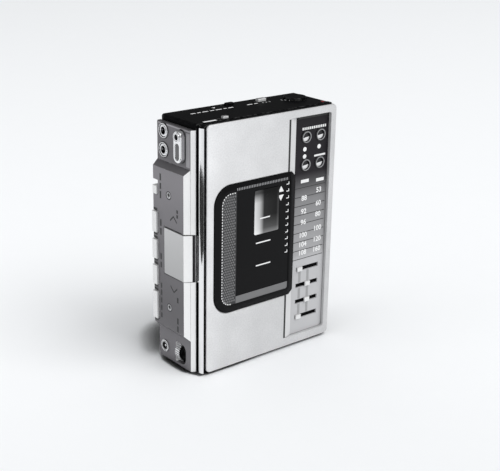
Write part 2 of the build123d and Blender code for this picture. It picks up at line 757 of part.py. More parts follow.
def battery_lid():
    """Lid of the battery bay: it slides out to the right on two tongues."""
    left = bay_left + LID_GAP
    low = lid_low + LID_GAP
    high = lid_top - LID_GAP
    lid = slab(left, body_right, cover_front, body_rear, low, high)
    lid = fillet(lid.edges().filter_by(Axis.Z).sort_by(Axis.X)[-2:].sort_by(Axis.Y)[-1:], REAR_EDGE_R)
    lid += slab(left - LID_TONGUE, body_right - REAR_EDGE_R, cover_front, cover_front + LID_TONGUE_T,
                low - LID_TONGUE, high + LID_TONGUE)
    for step in range(5):
        z = low + (step + 1) * LID_RIB
        lid -= slab(left + 2 * LID_RIB, body_right - 2 * LID_RIB, body_rear - LID_TONGUE_T,
                    body_rear, z, z + LID_RIB / 2)
    return lid


def rear_screw(x, z):
    """A screw of the rear cover, with a cross in its head."""
    screw = drum_y(REAR_SCREW_R, x, z, body_rear - SCREW_HEAD_T, body_rear)
    screw += drum_y(SCREW_SHANK_R, x, z, body_rear - REAR_SCREW_LEN, body_rear)
    for turn in (0, 90):
        cut = Box(REAR_SCREW_R * SCREW_CROSS, SCREW_HEAD_T, SCREW_HEAD_T / 2)
        screw -= Pos(x, body_rear, z) * Rot(0, turn, 0) * cut
    return screw


def feet():
    """Four rubber pads under the body."""
    pads = []
    for x in (body_left + FOOT_INSET, body_right - FOOT_INSET - FOOT_L):
        for y in (body_front + FIT_GAP, body_rear - FOOT_INSET - FOOT_D):
            pad = slab(x, x + FOOT_L, y, y + FOOT_D, floor_z, body_low)
            pads.append(fillet(pad.edges().filter_by(Axis.Z), FOOT_R))
    return group(pads)


def play_outline(proud):
    """The play key seen from above: its face and the slanted part that follows the rim."""
    inner = block_face - PLAY_PROUD + PLAY_DEEP + proud
    front_at = body_front + (body_left - inner) * (RIM_RUN + BLOCK_RIM_RUN) / (PANEL_PROUD + BLOCK_PROUD)
    outer = block_face - PLAY_PROUD
    return [(inner, PLAY_REAR + proud), (outer, PLAY_REAR + proud),
            (outer, block_front - PLAY_PROUD - proud), (inner, front_at - PLAY_PROUD - proud)]


def play_room():
    """The space that the play key needs for its travel."""
    inner = block_face - PLAY_PROUD + PLAY_DEEP + PLAY_TRAVEL + KEY_GAP
    return slab(block_face - OVER, min(inner, body_left), body_front - PARTING, PLAY_REAR + KEY_GAP,
                play_low - KEY_GAP, play_low + play_h + KEY_GAP)


def side_panel():
    """Grey panel on the left side, with its slanted bright rim towards the door."""
    panel = prism([(body_left, body_front), (panel_face, panel_front), (panel_face, body_rear),
                   (body_left, body_rear)], body_low, panel_top)
    corner = panel.edges().filter_by(Axis.Y).group_by(Axis.X)[0].sort_by(Axis.Z)[-1:]
    panel = fillet(corner, PANEL_PROUD / 4)
    panel -= play_room()
    for y, z, r in socket_spots():
        panel -= drum_x(r + FIT_GAP, y, z, panel_face - OVER, body_left)
    scoop = slab(panel_face - OVER, body_left, SCOOP_FRONT, WHEEL_Y + WHEEL_T + WHEEL_GAP,
                 WHEEL_Z - SCOOP_H / 2, WHEEL_Z + SCOOP_H / 2)
    scoop = fillet(scoop.edges().filter_by(Axis.X).group_by(Axis.Y)[0], SCOOP_FRONT_R)
    panel -= fillet(scoop.edges().filter_by(Axis.X).group_by(Axis.Y)[-1], SCOOP_REAR_R)
    for z in block_screw_z:
        panel -= drum_x(SCREW_SHANK_R + SEAT, BLOCK_SCREW_Y, z, panel_face, body_left)
    return panel


def key_spots():
    """The tabs on the rear edge of the block: lowest point and height of each."""
    return list(zip(key_low, key_h))


def key_block():
    """Raised block of the side panel, sloped at both ends and notched for the keys."""
    z0 = BLOCK_LOW - BLOCK_SLOPE
    z1 = BLOCK_LOW + block_h + BLOCK_SLOPE
    block = prism([(panel_face, panel_front), (block_face, block_front), (block_face, body_rear),
                   (panel_face, body_rear)], z0, z1)
    for low, high in ((z0, BLOCK_LOW), (z1, BLOCK_LOW + block_h)):
        corner = make_face(Polyline((panel_face, low), (block_face, low), (block_face, high), close=True))
        block -= extrude(Plane.XZ * corner, -2 * body_rear)
    block -= play_room()
    for low, high in key_spots():
        block -= slab(block_face, panel_face, body_rear - KEY_DEPTH - KEY_GAP, body_rear,
                      low - KEY_GAP, low + high + KEY_GAP)
    block -= slab(block_face, panel_face, body_rear - KEY_DEPTH - KEY_GAP, body_rear,
                  hold_low - KEY_GAP, hold_low + HOLD_H + HOLD_TRAVEL + KEY_GAP)
    for z in block_screw_z:
        block -= drum_x(SCREW_R + FIT_GAP, BLOCK_SCREW_Y, z, block_face, block_face + SCREW_HEAD_T)
        block -= drum_x(SCREW_SHANK_R + SEAT, BLOCK_SCREW_Y, z, block_face, panel_face)
    return block


def block_screw(z):
    """A small screw that holds the block and the side panel to the body."""
    screw = drum_x(SCREW_R, BLOCK_SCREW_Y, z, block_face, block_face + SCREW_HEAD_T)
    screw += drum_x(SCREW_SHANK_R, BLOCK_SCREW_Y, z, block_face, inner_left)
    for turn in (0, 90):
        cut = Box(SCREW_HEAD_T, SCREW_R * SCREW_CROSS, SCREW_HEAD_T / 2)
        screw -= Pos(block_face, BLOCK_SCREW_Y, z) * Rot(turn, 0, 0) * cut
    return screw


def play_key():
    """Large key that wraps over the slanted rim of the block."""
    key = prism(play_outline(0), play_low, play_low + play_h)
    return fillet(key.edges().filter_by(Axis.X).sort_by(Axis.Y)[-2:], KEY_EDGE_R)


def function_key(low, high):
    """Small key on the rear edge of the block."""
    outer = block_face - KEY_PROUD
    inner = panel_face - KEY_TRAVEL - FIT_GAP
    key = slab(outer, inner, body_rear - KEY_DEPTH, body_rear, low, low + high)
    return fillet(key.faces().sort_by(Axis.X)[0].edges(), KEY_EDGE_R / 2)


def hold_switch():
    """Small slide on the rear edge of the block."""
    tab = slab(block_face - HOLD_PROUD, panel_face - FIT_GAP, body_rear - KEY_DEPTH, body_rear - KEY_GAP,
               hold_low, hold_low + HOLD_H)
    return fillet(tab.faces().sort_by(Axis.X)[0].edges(), KEY_EDGE_R / 2)


def socket(y, z, ring_r, ring_t, barrel_r, bore_r, length, bore_len, face):
    """A round socket: bright ring outside, barrel through the wall and a blind bore."""
    plug = drum_x(ring_r, y, z, face - ring_t, face)
    plug += drum_x(barrel_r, y, z, face - ring_t, face + length)
    groove = drum_x(ring_r - RING_LIP, y, z, face - ring_t, face - ring_t + RING_GROOVE)
    plug -= groove - drum_x(bore_r + RING_COLLAR, y, z, face - ring_t, face)
    return plug - drum_x(bore_r, y, z, face - ring_t, face - ring_t + bore_len)


def remote_turret():
    """Raised oblong round the remote socket."""
    tower = slab(panel_face - TURRET_PROUD, panel_face, TURRET_Y - TURRET_W / 2, TURRET_Y + TURRET_W / 2,
                 turret_z - TURRET_H / 2, turret_z + TURRET_H / 2)
    tower = fillet(tower.edges().filter_by(Axis.X), TURRET_W / 2 - FIT_GAP)
    tower = fillet(tower.faces().sort_by(Axis.X)[0].edges(), JACK_RING_T)
    half = TURRET_W / 2 - TURRET_RIM
    face = panel_face - TURRET_PROUD
    pill = slab(face, face + TURRET_SINK, TURRET_Y - half, TURRET_Y + half,
                turret_z - TURRET_H / 2 + TURRET_RIM, jack_z[0] - REMOTE_RING_R - TURRET_RIM / 2)
    tower -= fillet(pill.edges().filter_by(Axis.X), half - FIT_GAP)
    return tower - drum_x(REMOTE_BARREL_R + FIT_GAP, TURRET_Y, jack_z[0], panel_face - TURRET_PROUD, panel_face)


def dc_jack():
    """Power socket with its centre pin."""
    jack = socket(DC_Y, DC_Z, DC_RING_R, JACK_RING_T, DC_RING_R, DC_BORE_R, DC_LEN, DC_BORE_LEN, panel_face)
    return jack + drum_x(DC_PIN_R, DC_Y, DC_Z, panel_face, panel_face + DC_LEN)


def ribbed(disc, place, radius, rib_r, length, count):
    """A wheel with round grooves along its rim."""
    grooves = [place(radius * cos(a), radius * sin(a), rib_r, length) for a in ring(count)]
    return disc - group(grooves)


def volume_wheel():
    """Thumbwheel of the volume control, ribbed on its rim."""
    wheel = drum_y(WHEEL_R, volume_x, WHEEL_Z, WHEEL_Y, WHEEL_Y + WHEEL_T)

    def groove(dx, dz, r, length):
        return drum_y(r, volume_x + dx, WHEEL_Z + dz, WHEEL_Y, WHEEL_Y + length)

    wheel = ribbed(wheel, groove, WHEEL_R, WHEEL_RIB_R, WHEEL_T, WHEEL_RIBS)
    return wheel - drum_y(WHEEL_BORE_R, volume_x, WHEEL_Z, WHEEL_Y, WHEEL_Y + WHEEL_T)


def volume_pot():
    """Volume control behind the wheel, with the shaft that carries it."""
    rear = WHEEL_Y + WHEEL_T + WHEEL_GAP
    pot = slab(inner_left + FIT_GAP, inner_left + POT_W, rear, rear + POT_T,
               inner_low + FIT_GAP, inner_low + POT_H)
    return pot + drum_y(WHEEL_BORE_R - RUNNING, volume_x, WHEEL_Z, WHEEL_Y, rear)


def top_slide(x, y, length, width, proud):
    """A slide on the top: ridged knob and the stem that runs in the slot."""
    knob = slab(x - length / 2, x + length / 2, y - width / 2, y + width / 2,
                body_top + FIT_GAP / 2, body_top + proud)
    knob = fillet(knob.edges().filter_by(Axis.Z), width / 4)
    knob = fillet(knob.faces().sort_by(Axis.Z)[-1].edges(), proud / 4)
    return knob + slab(x - STEM_L / 2, x + STEM_L / 2, y - TOP_SLOT_W / 2 + FIT_GAP,
                       y + TOP_SLOT_W / 2 - FIT_GAP, body_top - STEM_DEEP, body_top + proud / 2)


def tuning_dial():
    """Round tuning dial, partly sunk in the top, on its shaft."""
    low = body_top - DIAL_SUNK + FIT_GAP / 2
    dial = drum_z(DIAL_R, dial_x, DIAL_Y, low, body_top + DIAL_PROUD)
    dial = chamfer(dial.faces().sort_by(Axis.Z)[-1].edges(), DIAL_RIB_R)

    def groove(dx, dy, r, length):
        return drum_z(r, dial_x + dx, DIAL_Y + dy, low, low + length)

    dial = ribbed(dial, groove, DIAL_R, DIAL_RIB_R, DIAL_SUNK + DIAL_PROUD, DIAL_RIBS)
    return dial + drum_z(DIAL_SHAFT_R, dial_x, DIAL_Y, inner_top + RUNNING, low)


def tuning_capacitor():
    """Tuning capacitor under the top wall."""
    return slab(dial_x - TUNER_CAN_W / 2, dial_x + TUNER_CAN_W / 2, DIAL_Y - TUNER_CAN_D / 2,
                DIAL_Y + TUNER_CAN_D / 2, inner_top - TUNER_CAN_H, inner_top)


def led():
    """Small lamp in the top."""
    return drum_z(LED_R, led_x, LED_Y, inner_top, body_top + LED_PROUD)


def battery_contacts():
    """Sprung contacts at both ends of the bay."""
    x = (bay_left + inner_right) / 2
    y = (BAY_FRONT + cover_front) / 2
    made = []
    for end, way in ((bay_low, 1), (bay_top, -1)):
        leaf = slab(x - CONTACT_W / 2, x + CONTACT_W / 2, y - CONTACT_W / 2, y + CONTACT_W / 2,
                    min(end, end + way * CONTACT_T), max(end, end + way * CONTACT_T))
        tip = end + way * (CONTACT_T + CONTACT_COIL_T / 2)
        coil = Pos(x, y, tip) * Cone(CONTACT_R, CONTACT_R / 2, CONTACT_COIL_T)
        if way < 0:
            coil = Pos(x, y, tip) * Cone(CONTACT_R / 2, CONTACT_R, CONTACT_COIL_T)
        made.append(leaf + coil)
    return group(made)


pieces["body_shell"] = body_shell()
pieces["rear_cover"] = rear_cover()
pieces["battery_lid"] = battery_lid()
pieces["battery_contacts"] = battery_contacts()
pieces["case_screws"] = group([rear_screw(x, z) for x, z in rear_screw_spots()]
                              + [block_screw(z) for z in block_screw_z])
pieces["feet"] = feet()
pieces["side_panel"] = side_panel()
pieces["key_block"] = key_block()
pieces["play_key"] = play_key()
for number, (low, high) in enumerate(key_spots(), 1):
    pieces[f"function_key_{number}"] = function_key(low, high)
pieces["hold_switch"] = hold_switch()
pieces["headphone_jacks"] = group(
    socket(JACK_Y, z, JACK_RING_R, JACK_RING_T, JACK_BARREL_R, JACK_BORE_R, JACK_LEN, JACK_BORE_LEN, panel_face)
    for z in jack_z)
pieces["remote_turret"] = remote_turret()
pieces["remote_jack"] = socket(TURRET_Y, jack_z[0], REMOTE_RING_R, JACK_RING_T, REMOTE_BARREL_R,
                               REMOTE_BORE_R, REMOTE_LEN, REMOTE_BORE_LEN, panel_face - TURRET_PROUD)
pieces["dc_jack"] = dc_jack()
pieces["volume_wheel"] = volume_wheel()
pieces["volume_pot"] = volume_pot()
pieces["eject_slide"] = top_slide(EJECT_X, EJECT_Y, EJECT_L, EJECT_W, EJECT_PROUD)
pieces["band_switch"] = top_slide(band_x, BAND_Y, BAND_L, BAND_W, BAND_PROUD)
pieces["mode_switch"] = top_slide(mode_x, MODE_Y, MODE_L, MODE_W, MODE_PROUD)
pieces["tuning_dial"] = tuning_dial()
pieces["tuning_capacitor"] = tuning_capacitor()
pieces["led"] = led()


def deck_plate():
    """Plate at the back of the cassette well: it carries the drive, a guide pin and the rod clips."""
    plate = slab(inner_left + DECK_GAP, deck_right - DECK_GAP, deck_front, deck_rear,
                 inner_low + DECK_GAP, inner_top - DECK_GAP)
    plate -= slab(inner_left, inner_left + POT_W + DECK_GAP + LEDGE_W, deck_front, deck_rear,
                  inner_low, inner_low + POT_H + 2 * LEDGE_W)
    for z in capstan_z:
        plate -= drum_y(BUSH_R + SEAT, capstan_x, z, deck_front, deck_rear)
    for z in hub_z:
        plate -= drum_y(SPINDLE_AXLE_R + RUNNING, hub_x, z, deck_front, deck_rear)
    plate += guide_post()
    for x in (ROD_LEFT + ROD_CLIP_W, ROD_LEFT + ROD_L - 2 * ROD_CLIP_W):
        plate += rod_clip(x)
    return plate


def capstan_bushes():
    """Two bearings of the capstans, pressed in the deck."""
    made = []
    for z in capstan_z:
        bush = drum_y(BUSH_R, capstan_x, z, deck_front - BUSH_T, deck_rear + BUSH_BEHIND)
        made.append(bush - drum_y(CAPSTAN_R + RUNNING, capstan_x, z, body_front, cover_front))
    return group(made)


def reel_spindle(z):
    """Finned spindle that turns a reel, with its gear behind the deck."""
    front = deck_front - SPINDLE_LEN
    seat = deck_front - END_GAP
    spindle = drum_y(SPINDLE_TIP_R, hub_x, z, front, seat)
    spindle += drum_y(SPINDLE_R, hub_x, z, seat - SPINDLE_BASE, seat)
    for turn in (0, 120, 240):
        fin = Pos(SPINDLE_R / 2, 0, 0) * Box(SPINDLE_R, FIN_LEN, SPINDLE_FIN)
        spindle += Pos(hub_x, seat - FIN_LEN / 2, z) * Rot(0, turn, 0) * fin
    gear_front = deck_rear + END_GAP
    gear_rear = gear_front + REEL_GEAR_T
    spindle += drum_y(SPINDLE_AXLE_R, hub_x, z, seat, gear_rear)
    gear = drum_y(REEL_GEAR_R, hub_x, z, gear_front, gear_rear)
    notches = [drum_y(REEL_TOOTH_R, hub_x + REEL_GEAR_R * cos(a), z + REEL_GEAR_R * sin(a),
                      gear_front, gear_rear) for a in ring(REEL_TEETH)]
    return spindle + (gear - group(notches))


def flywheel(z):
    """Flywheel behind the deck, with the capstan on its axis."""
    wheel = drum_y(FLYWHEEL_R, capstan_x, z, wheel_front, wheel_rear)
    return wheel + drum_y(CAPSTAN_R, capstan_x, z, deck_front - CAPSTAN_LEN, wheel_rear)


def motor():
    """Flat motor behind the deck, on three posts."""
    front = pulley_rear + END_GAP
    can = drum_y(MOTOR_R, motor_x, well_z, front, front + MOTOR_LEN)
    can += drum_y(MOTOR_SHAFT_R, motor_x, well_z, pulley_front, front)
    for turn in (pi, pi / 3, -pi / 3):
        can += drum_y(MOTOR_POST_R, motor_x + MOTOR_POST_CIRCLE * cos(turn),
                      well_z + MOTOR_POST_CIRCLE * sin(turn), deck_rear, front)
    return can


def pulley(x, z, r, bore_r):
    """Flanged belt pulley."""
    wheel = drum_y(r, x, z, belt_front - BELT_GAP, belt_rear + BELT_GAP)
    for y0, y1 in ((pulley_front, belt_front - BELT_GAP), (belt_rear + BELT_GAP, pulley_rear)):
        wheel += drum_y(r + BELT_T, x, z, y0, y1)
    return wheel - drum_y(bore_r + RUNNING, x, z, pulley_front, pulley_rear)


def guide_post():
    """Pin of the guide pulley on the deck."""
    post = drum_y(GUIDE_PIN_R, GUIDE_X, guide_z, deck_rear, pulley_rear)
    return post + drum_y(GUIDE_R, GUIDE_X, guide_z, deck_rear, pulley_front - END_GAP)


def belt_wheels():
    """The wheels that the belt runs over, in order: X, Z, radius and sense of turn."""
    return [(motor_x, well_z, PULLEY_R, 1), (capstan_x, capstan_z[0], FLYWHEEL_R, 1),
            (capstan_x, capstan_z[1], FLYWHEEL_R, -1), (GUIDE_X, guide_z, GUIDE_R, 1)]


def belt_loop(side):
    """One edge of the belt: straight runs between the wheels and arcs round them."""
    wheels = [(x, z, turn * (r + BELT_GAP + BELT_T / 2) + side * BELT_T / 2, turn)
              for x, z, r, turn in belt_wheels()]
    count = len(wheels)
    ways = []
    for i in range(count):
        x0, z0, r0, _ = wheels[i]
        x1, z1, r1, _ = wheels[(i + 1) % count]
        apart = hypot(x1 - x0, z1 - z0)
        ways.append(atan2(z1 - z0, x1 - x0) - (pi / 2 - acos((r1 - r0) / apart)))

    def touch(wheel, way):
        x, z, r, _ = wheel
        return (x + r * sin(way), z - r * cos(way))

    edges = []
    for i in range(count):
        wheel = wheels[i]
        way_in = ways[i - 1]
        way_out = ways[i]
        while (way_out - way_in) * wheel[3] < 0:
            way_out += 2 * pi * wheel[3]
        half = (way_in + way_out) / 2
        edges.append(ThreePointArc(touch(wheel, way_in), touch(wheel, half), touch(wheel, way_out)))
        edges.append(Line(touch(wheel, way_out), touch(wheels[(i + 1) % count], ways[i])))
    return make_face(edges)


def drive_belt():
    """Rubber belt from the motor to both flywheels, one of them on its back."""
    return sheet(belt_loop(1), belt_front, belt_rear) - sheet(belt_loop(-1), belt_front, belt_rear)


def roller_x():
    """Where the pinch rollers stand at rest, clear of the capstans by the travel of the sled."""
    return capstan_x - CAPSTAN_R - ROLLER_GAP - HEAD_TRAVEL - ROLLER_R


def head_sled():
    """Sliding plate on the deck that carries the head and the pinch rollers."""
    y0 = deck_front - SLED_T
    plate = slab(SLED_LEFT, SLED_LEFT + SLED_W, y0, deck_front, well_z - SLED_H / 2, well_z + SLED_H / 2)
    for z in capstan_z:
        plate += drum_y(2 * ROLLER_PIN_R, roller_x(), z, TAPE_MID + ROLLER_T / 2 + END_GAP, y0)
        plate += drum_y(ROLLER_PIN_R, roller_x(), z, TAPE_MID - ROLLER_T / 2, y0)
    return plate


def tape_head():
    """Tape head with its rounded nose towards the tape, on its foot."""
    x1 = HEAD_LEFT + HEAD_W
    y0 = TAPE_MID - HEAD_D / 2
    y1 = TAPE_MID + HEAD_D / 2
    head = slab(HEAD_LEFT, x1, y0, y1, well_z - HEAD_H / 2, well_z + HEAD_H / 2)
    head &= drum_y(HEAD_NOSE_R, x1 - HEAD_NOSE_R, well_z, y0, y1)
    foot_h = HEAD_H / 2
    return head + slab(HEAD_LEFT, x1 - HEAD_W / 4, y1, deck_front - SLED_T,
                       well_z - foot_h / 2, well_z + foot_h / 2)


def pinch_roller(z):
    """Rubber roller that presses the tape on a capstan."""
    y0 = TAPE_MID - ROLLER_T / 2
    roller = drum_y(ROLLER_R, roller_x(), z, y0, y0 + ROLLER_T)
    return roller - drum_y(ROLLER_PIN_R + RUNNING, roller_x(), z, y0, y0 + ROLLER_T)


def main_board():
    """Main circuit board along the rear cover, with its largest chips."""
    rear = cover_front - MAIN_BEHIND
    board = slab(MAIN_LEFT, MAIN_LEFT + main_w, rear - MAIN_T, rear, MAIN_LOW, MAIN_LOW + main_h)
    notch = REAR_BOSS_R + BOSS_GAP
    for x, z in rear_screw_spots():
        end = inner_low if z < well_z else inner_top
        board -= slab(x - notch, x + notch, rear - MAIN_T, rear, min(z - notch, end), max(z + notch, end))
    for part in (1, 2):
        z = MAIN_LOW + part * main_h / 4 - CHIP_H / 2
        x = MAIN_LEFT + CHIP_W
        board += slab(x, x + CHIP_W, rear - MAIN_T - CHIP_T, rear - MAIN_T, z, z + CHIP_H)
    return board


def ferrite_rod():
    """Ferrite rod of the radio aerial."""
    return drum_x(ROD_R, ROD_Y, rod_z, ROD_LEFT, ROD_LEFT + ROD_L)


def rod_clip(x):
    """A clip on the deck that holds the ferrite rod."""
    clip = slab(x, x + ROD_CLIP_W, deck_rear, ROD_Y + ROD_R / 2, rod_z - ROD_R - ROD_WALL,
                rod_z + ROD_R + ROD_WALL)
    return clip - drum_x(ROD_R + SEAT, ROD_Y, rod_z, x, x + ROD_CLIP_W)


pieces["deck_plate"] = deck_plate()
pieces["capstan_bushes"] = capstan_bushes()
for name, hub, capstan in (("upper", hub_z[0], capstan_z[0]), ("lower", hub_z[1], capstan_z[1])):
    pieces[f"reel_spindle_{name}"] = reel_spindle(hub)
    pieces[f"flywheel_{name}"] = flywheel(capstan)
    pieces[f"pinch_roller_{name}"] = pinch_roller(capstan)
pieces["motor"] = motor()
pieces["motor_pulley"] = pulley(motor_x, well_z, PULLEY_R, MOTOR_SHAFT_R)
pieces["guide_pulley"] = pulley(GUIDE_X, guide_z, GUIDE_R, GUIDE_PIN_R)
pieces["drive_belt"] = drive_belt()
pieces["head_sled"] = head_sled()
pieces["tape_head"] = tape_head()
pieces["main_board"] = main_board()
pieces["ferrite_rod"] = ferrite_rod()

# The part's frame: the middle of the box, on the plane that the feet stand on
x_mid = (block_face - KEY_PROUD + body_right) / 2
y_mid = (body_rear - WINDOW_PROUD) / 2
home = Pos(-x_mid, -y_mid, -floor_z)

os.makedirs("parts", exist_ok=True)
for name, piece in pieces.items():
    export_step(home * piece, f"parts/{name}.step")
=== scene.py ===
"""Looks of a pocket radio cassette player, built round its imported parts.

Every part keeps its place. The operators give each one its finish, add the printed marks,
the dials and the fine pieces that the parts leave out, and set the stage.
"""

import json
import math

import bmesh
import bpy
from bpy.props import FloatProperty, FloatVectorProperty, IntProperty, PointerProperty
from mathutils import Matrix, Vector


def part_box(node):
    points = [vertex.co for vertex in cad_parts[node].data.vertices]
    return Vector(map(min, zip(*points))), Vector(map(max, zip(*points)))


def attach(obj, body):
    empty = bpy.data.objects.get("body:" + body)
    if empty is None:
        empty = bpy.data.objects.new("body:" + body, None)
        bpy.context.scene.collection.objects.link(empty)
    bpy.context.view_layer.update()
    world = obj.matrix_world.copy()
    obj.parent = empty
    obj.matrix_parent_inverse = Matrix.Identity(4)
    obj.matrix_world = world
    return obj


bl_info = {
    "name": "Pocket cassette player",
    "version": (1, 0, 0),
    "blender": (4, 5, 0),
    "location": "View3D > Sidebar > Player",
    "description": "Finishes, printed marks and stage of a pocket cassette player",
    "category": "Object",
}

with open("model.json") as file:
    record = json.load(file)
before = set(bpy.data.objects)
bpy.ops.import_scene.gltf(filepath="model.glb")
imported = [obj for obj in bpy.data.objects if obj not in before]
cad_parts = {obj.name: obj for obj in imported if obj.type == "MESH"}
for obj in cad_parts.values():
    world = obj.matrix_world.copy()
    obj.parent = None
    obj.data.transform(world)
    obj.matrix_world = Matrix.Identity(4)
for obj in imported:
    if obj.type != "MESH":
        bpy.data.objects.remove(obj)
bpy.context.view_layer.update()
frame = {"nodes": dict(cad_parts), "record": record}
MM = 0.001

# Places read from the parts
PLATE_LOW, PLATE_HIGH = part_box("front_plate")
WINDOW_LOW, WINDOW_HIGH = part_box("window_frame")
LENS_LOW, LENS_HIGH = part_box("window_lens")
BLOCK_LOW, BLOCK_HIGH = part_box("key_block")
SIDE_LOW, SIDE_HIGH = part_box("side_panel")
SHELL_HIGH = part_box("body_shell")[1]

# Tuner print in millimetres from the front plate's lower left corner: where its silver slope ends,
# and the heights between which it pales
SLOPE_RIGHT = 52.4
DIAL_DARK = 86.0
DIAL_PALE = 42.0


def plate_point(x, y, z):
    """A place given in millimetres from the front plate's lower left corner, in the frame."""
    return Vector((PLATE_LOW.x + x * MM, PLATE_LOW.y + y * MM, PLATE_LOW.z + z * MM))


class PlayerFinishes(bpy.types.PropertyGroup):
    """Colours of the player's surfaces."""

    silver: FloatVectorProperty(
        name="Silver plate", description="Satin front plate", subtype="COLOR",
        default=(0.65, 0.65, 0.655))
    side_grey: FloatVectorProperty(
        name="Side grey", description="Satin side panel and key block", subtype="COLOR",
        default=(0.25, 0.24, 0.256))
    # Painted highlight: pale strips beside the sockets and along the top of their panel.
    side_painted_highlight: FloatVectorProperty(
        name="Side light", description="Lighter strip beside the sockets", subtype="COLOR",
        default=(0.33, 0.32, 0.336))
    # Painted highlight: the colour of every side-panel and key face that looks toward the front.
    rim: FloatVectorProperty(
        name="Bright rim", description="Slanted rim of the side panel", subtype="COLOR",
        default=(0.95, 0.95, 0.95))
    key: FloatVectorProperty(
        name="Play key", description="Lighter satin key", subtype="COLOR",
        default=(0.76, 0.76, 0.765))
    case: FloatVectorProperty(
        name="Black case", description="Body, door tray and rear cover", subtype="COLOR",
        default=(0.004, 0.004, 0.0045))
    window: FloatVectorProperty(
        name="Window", description="Gloss black window moulding", subtype="COLOR",
        default=(0.007, 0.007, 0.0075))
    chrome: FloatVectorProperty(
        name="Chrome", description="Bright trim, rings and wheel", subtype="COLOR",
        default=(0.86, 0.86, 0.87))
    tab: FloatVectorProperty(
        name="Tabs", description="Pale tabs and knobs", subtype="COLOR", default=(0.78, 0.78, 0.78))
    print_white: FloatVectorProperty(
        name="White print", description="Printed marks on dark ground", subtype="COLOR",
        default=(0.86, 0.86, 0.86))
    print_black: FloatVectorProperty(
        name="Black print", description="Printed marks on pale ground", subtype="COLOR",
        default=(0.02, 0.02, 0.02))
    dial_dark: FloatVectorProperty(
        name="Dial dark", description="Upper end of the tuner panel", subtype="COLOR",
        default=(0.014, 0.012, 0.015))
    dial_pale: FloatVectorProperty(
        name="Dial pale", description="Lower end of the tuner panel", subtype="COLOR",
        default=(0.54, 0.54, 0.55))
    steel: FloatVectorProperty(
        name="Steel", description="Deck, springs and screws", subtype="COLOR",
        default=(0.50, 0.50, 0.51))
    brass: FloatVectorProperty(
        name="Brass", description="Flywheels and bushes", subtype="COLOR",
        default=(0.62, 0.45, 0.19))
    bezel: FloatVectorProperty(
        name="Bezels", description="Rings round the preset trimmers", subtype="COLOR",
        default=(0.09, 0.088, 0.092))
    trimmer: FloatVectorProperty(
        name="Trimmers", description="Preset trimmers in their rings", subtype="COLOR",
        default=(0.03, 0.03, 0.032))
    board: FloatVectorProperty(
        name="Board", description="Circuit boards", subtype="COLOR", default=(0.03, 0.11, 0.045))


class PlayerMarks(bpy.types.PropertyGroup):
    """Sizes of the printed marks."""

    print_t: FloatProperty(
        name="Print height", description="How far a printed mark stands on its ground",
        default=0.02 * MM, unit="LENGTH", precision=6)
    rib_pitch: FloatProperty(
        name="Rib pitch", description="Spacing of the fine ribs over the pane", default=0.95 * MM,
        unit="LENGTH", precision=5)
    dot_pitch: FloatProperty(
        name="Dot pitch", description="Spacing of the dotted line round the window",
        default=1.35 * MM, unit="LENGTH", precision=5)
    weave_pitch: FloatProperty(
        name="Weave pitch", description="Spacing of the raised weave on the window band",
        default=1.25 * MM, unit="LENGTH", precision=5)
    dial_lines: IntProperty(
        name="Dial lines", description="Lines across the tuner dial", default=9, min=2)


class PlayerStage(bpy.types.PropertyGroup):
    """Camera, lamps and ground."""

    azimuth: FloatProperty(
        name="Azimuth", description="How far the camera stands to the left of the front",
        default=math.radians(39.72), subtype="ANGLE")
    elevation: FloatProperty(
        name="Elevation", description="How far the camera looks down", default=math.radians(19.56),
        subtype="ANGLE")
    roll: FloatProperty(
        name="Roll", description="Tilt of the picture", default=math.radians(1.03), subtype="ANGLE")
    lens: FloatProperty(
        name="Lens", description="Focal length on a 36 mm sensor", default=76.07, unit="CAMERA")
    camera_place: FloatVectorProperty(
        name="Camera place", description="From the front plate's lower left corner",
        subtype="TRANSLATION", default=(-0.26552, -0.34924, 0.22376))
    ground: FloatVectorProperty(
        name="Ground", description="Colour of the pale floor", subtype="COLOR",
        default=(0.93, 0.94, 0.95))
    sky: FloatVectorProperty(
        name="Sky", description="Pale surroundings", subtype="COLOR", default=(0.92, 0.93, 0.94))
    sky_strength: FloatProperty(
        name="Sky strength", description="Light from all round", default=0.75, min=0)
    mirror_strength: FloatProperty(
        name="Mirrored sky", description="How bright the surroundings are in a mirror",
        default=0.25, min=0, max=1)
    key_power: FloatProperty(
        name="Key lamp", description="Power of the large lamp", default=116.0, unit="POWER")
    fill_power: FloatProperty(
        name="Fill lamp", description="Power of the lamp on the camera's side", default=2.0,
        unit="POWER")


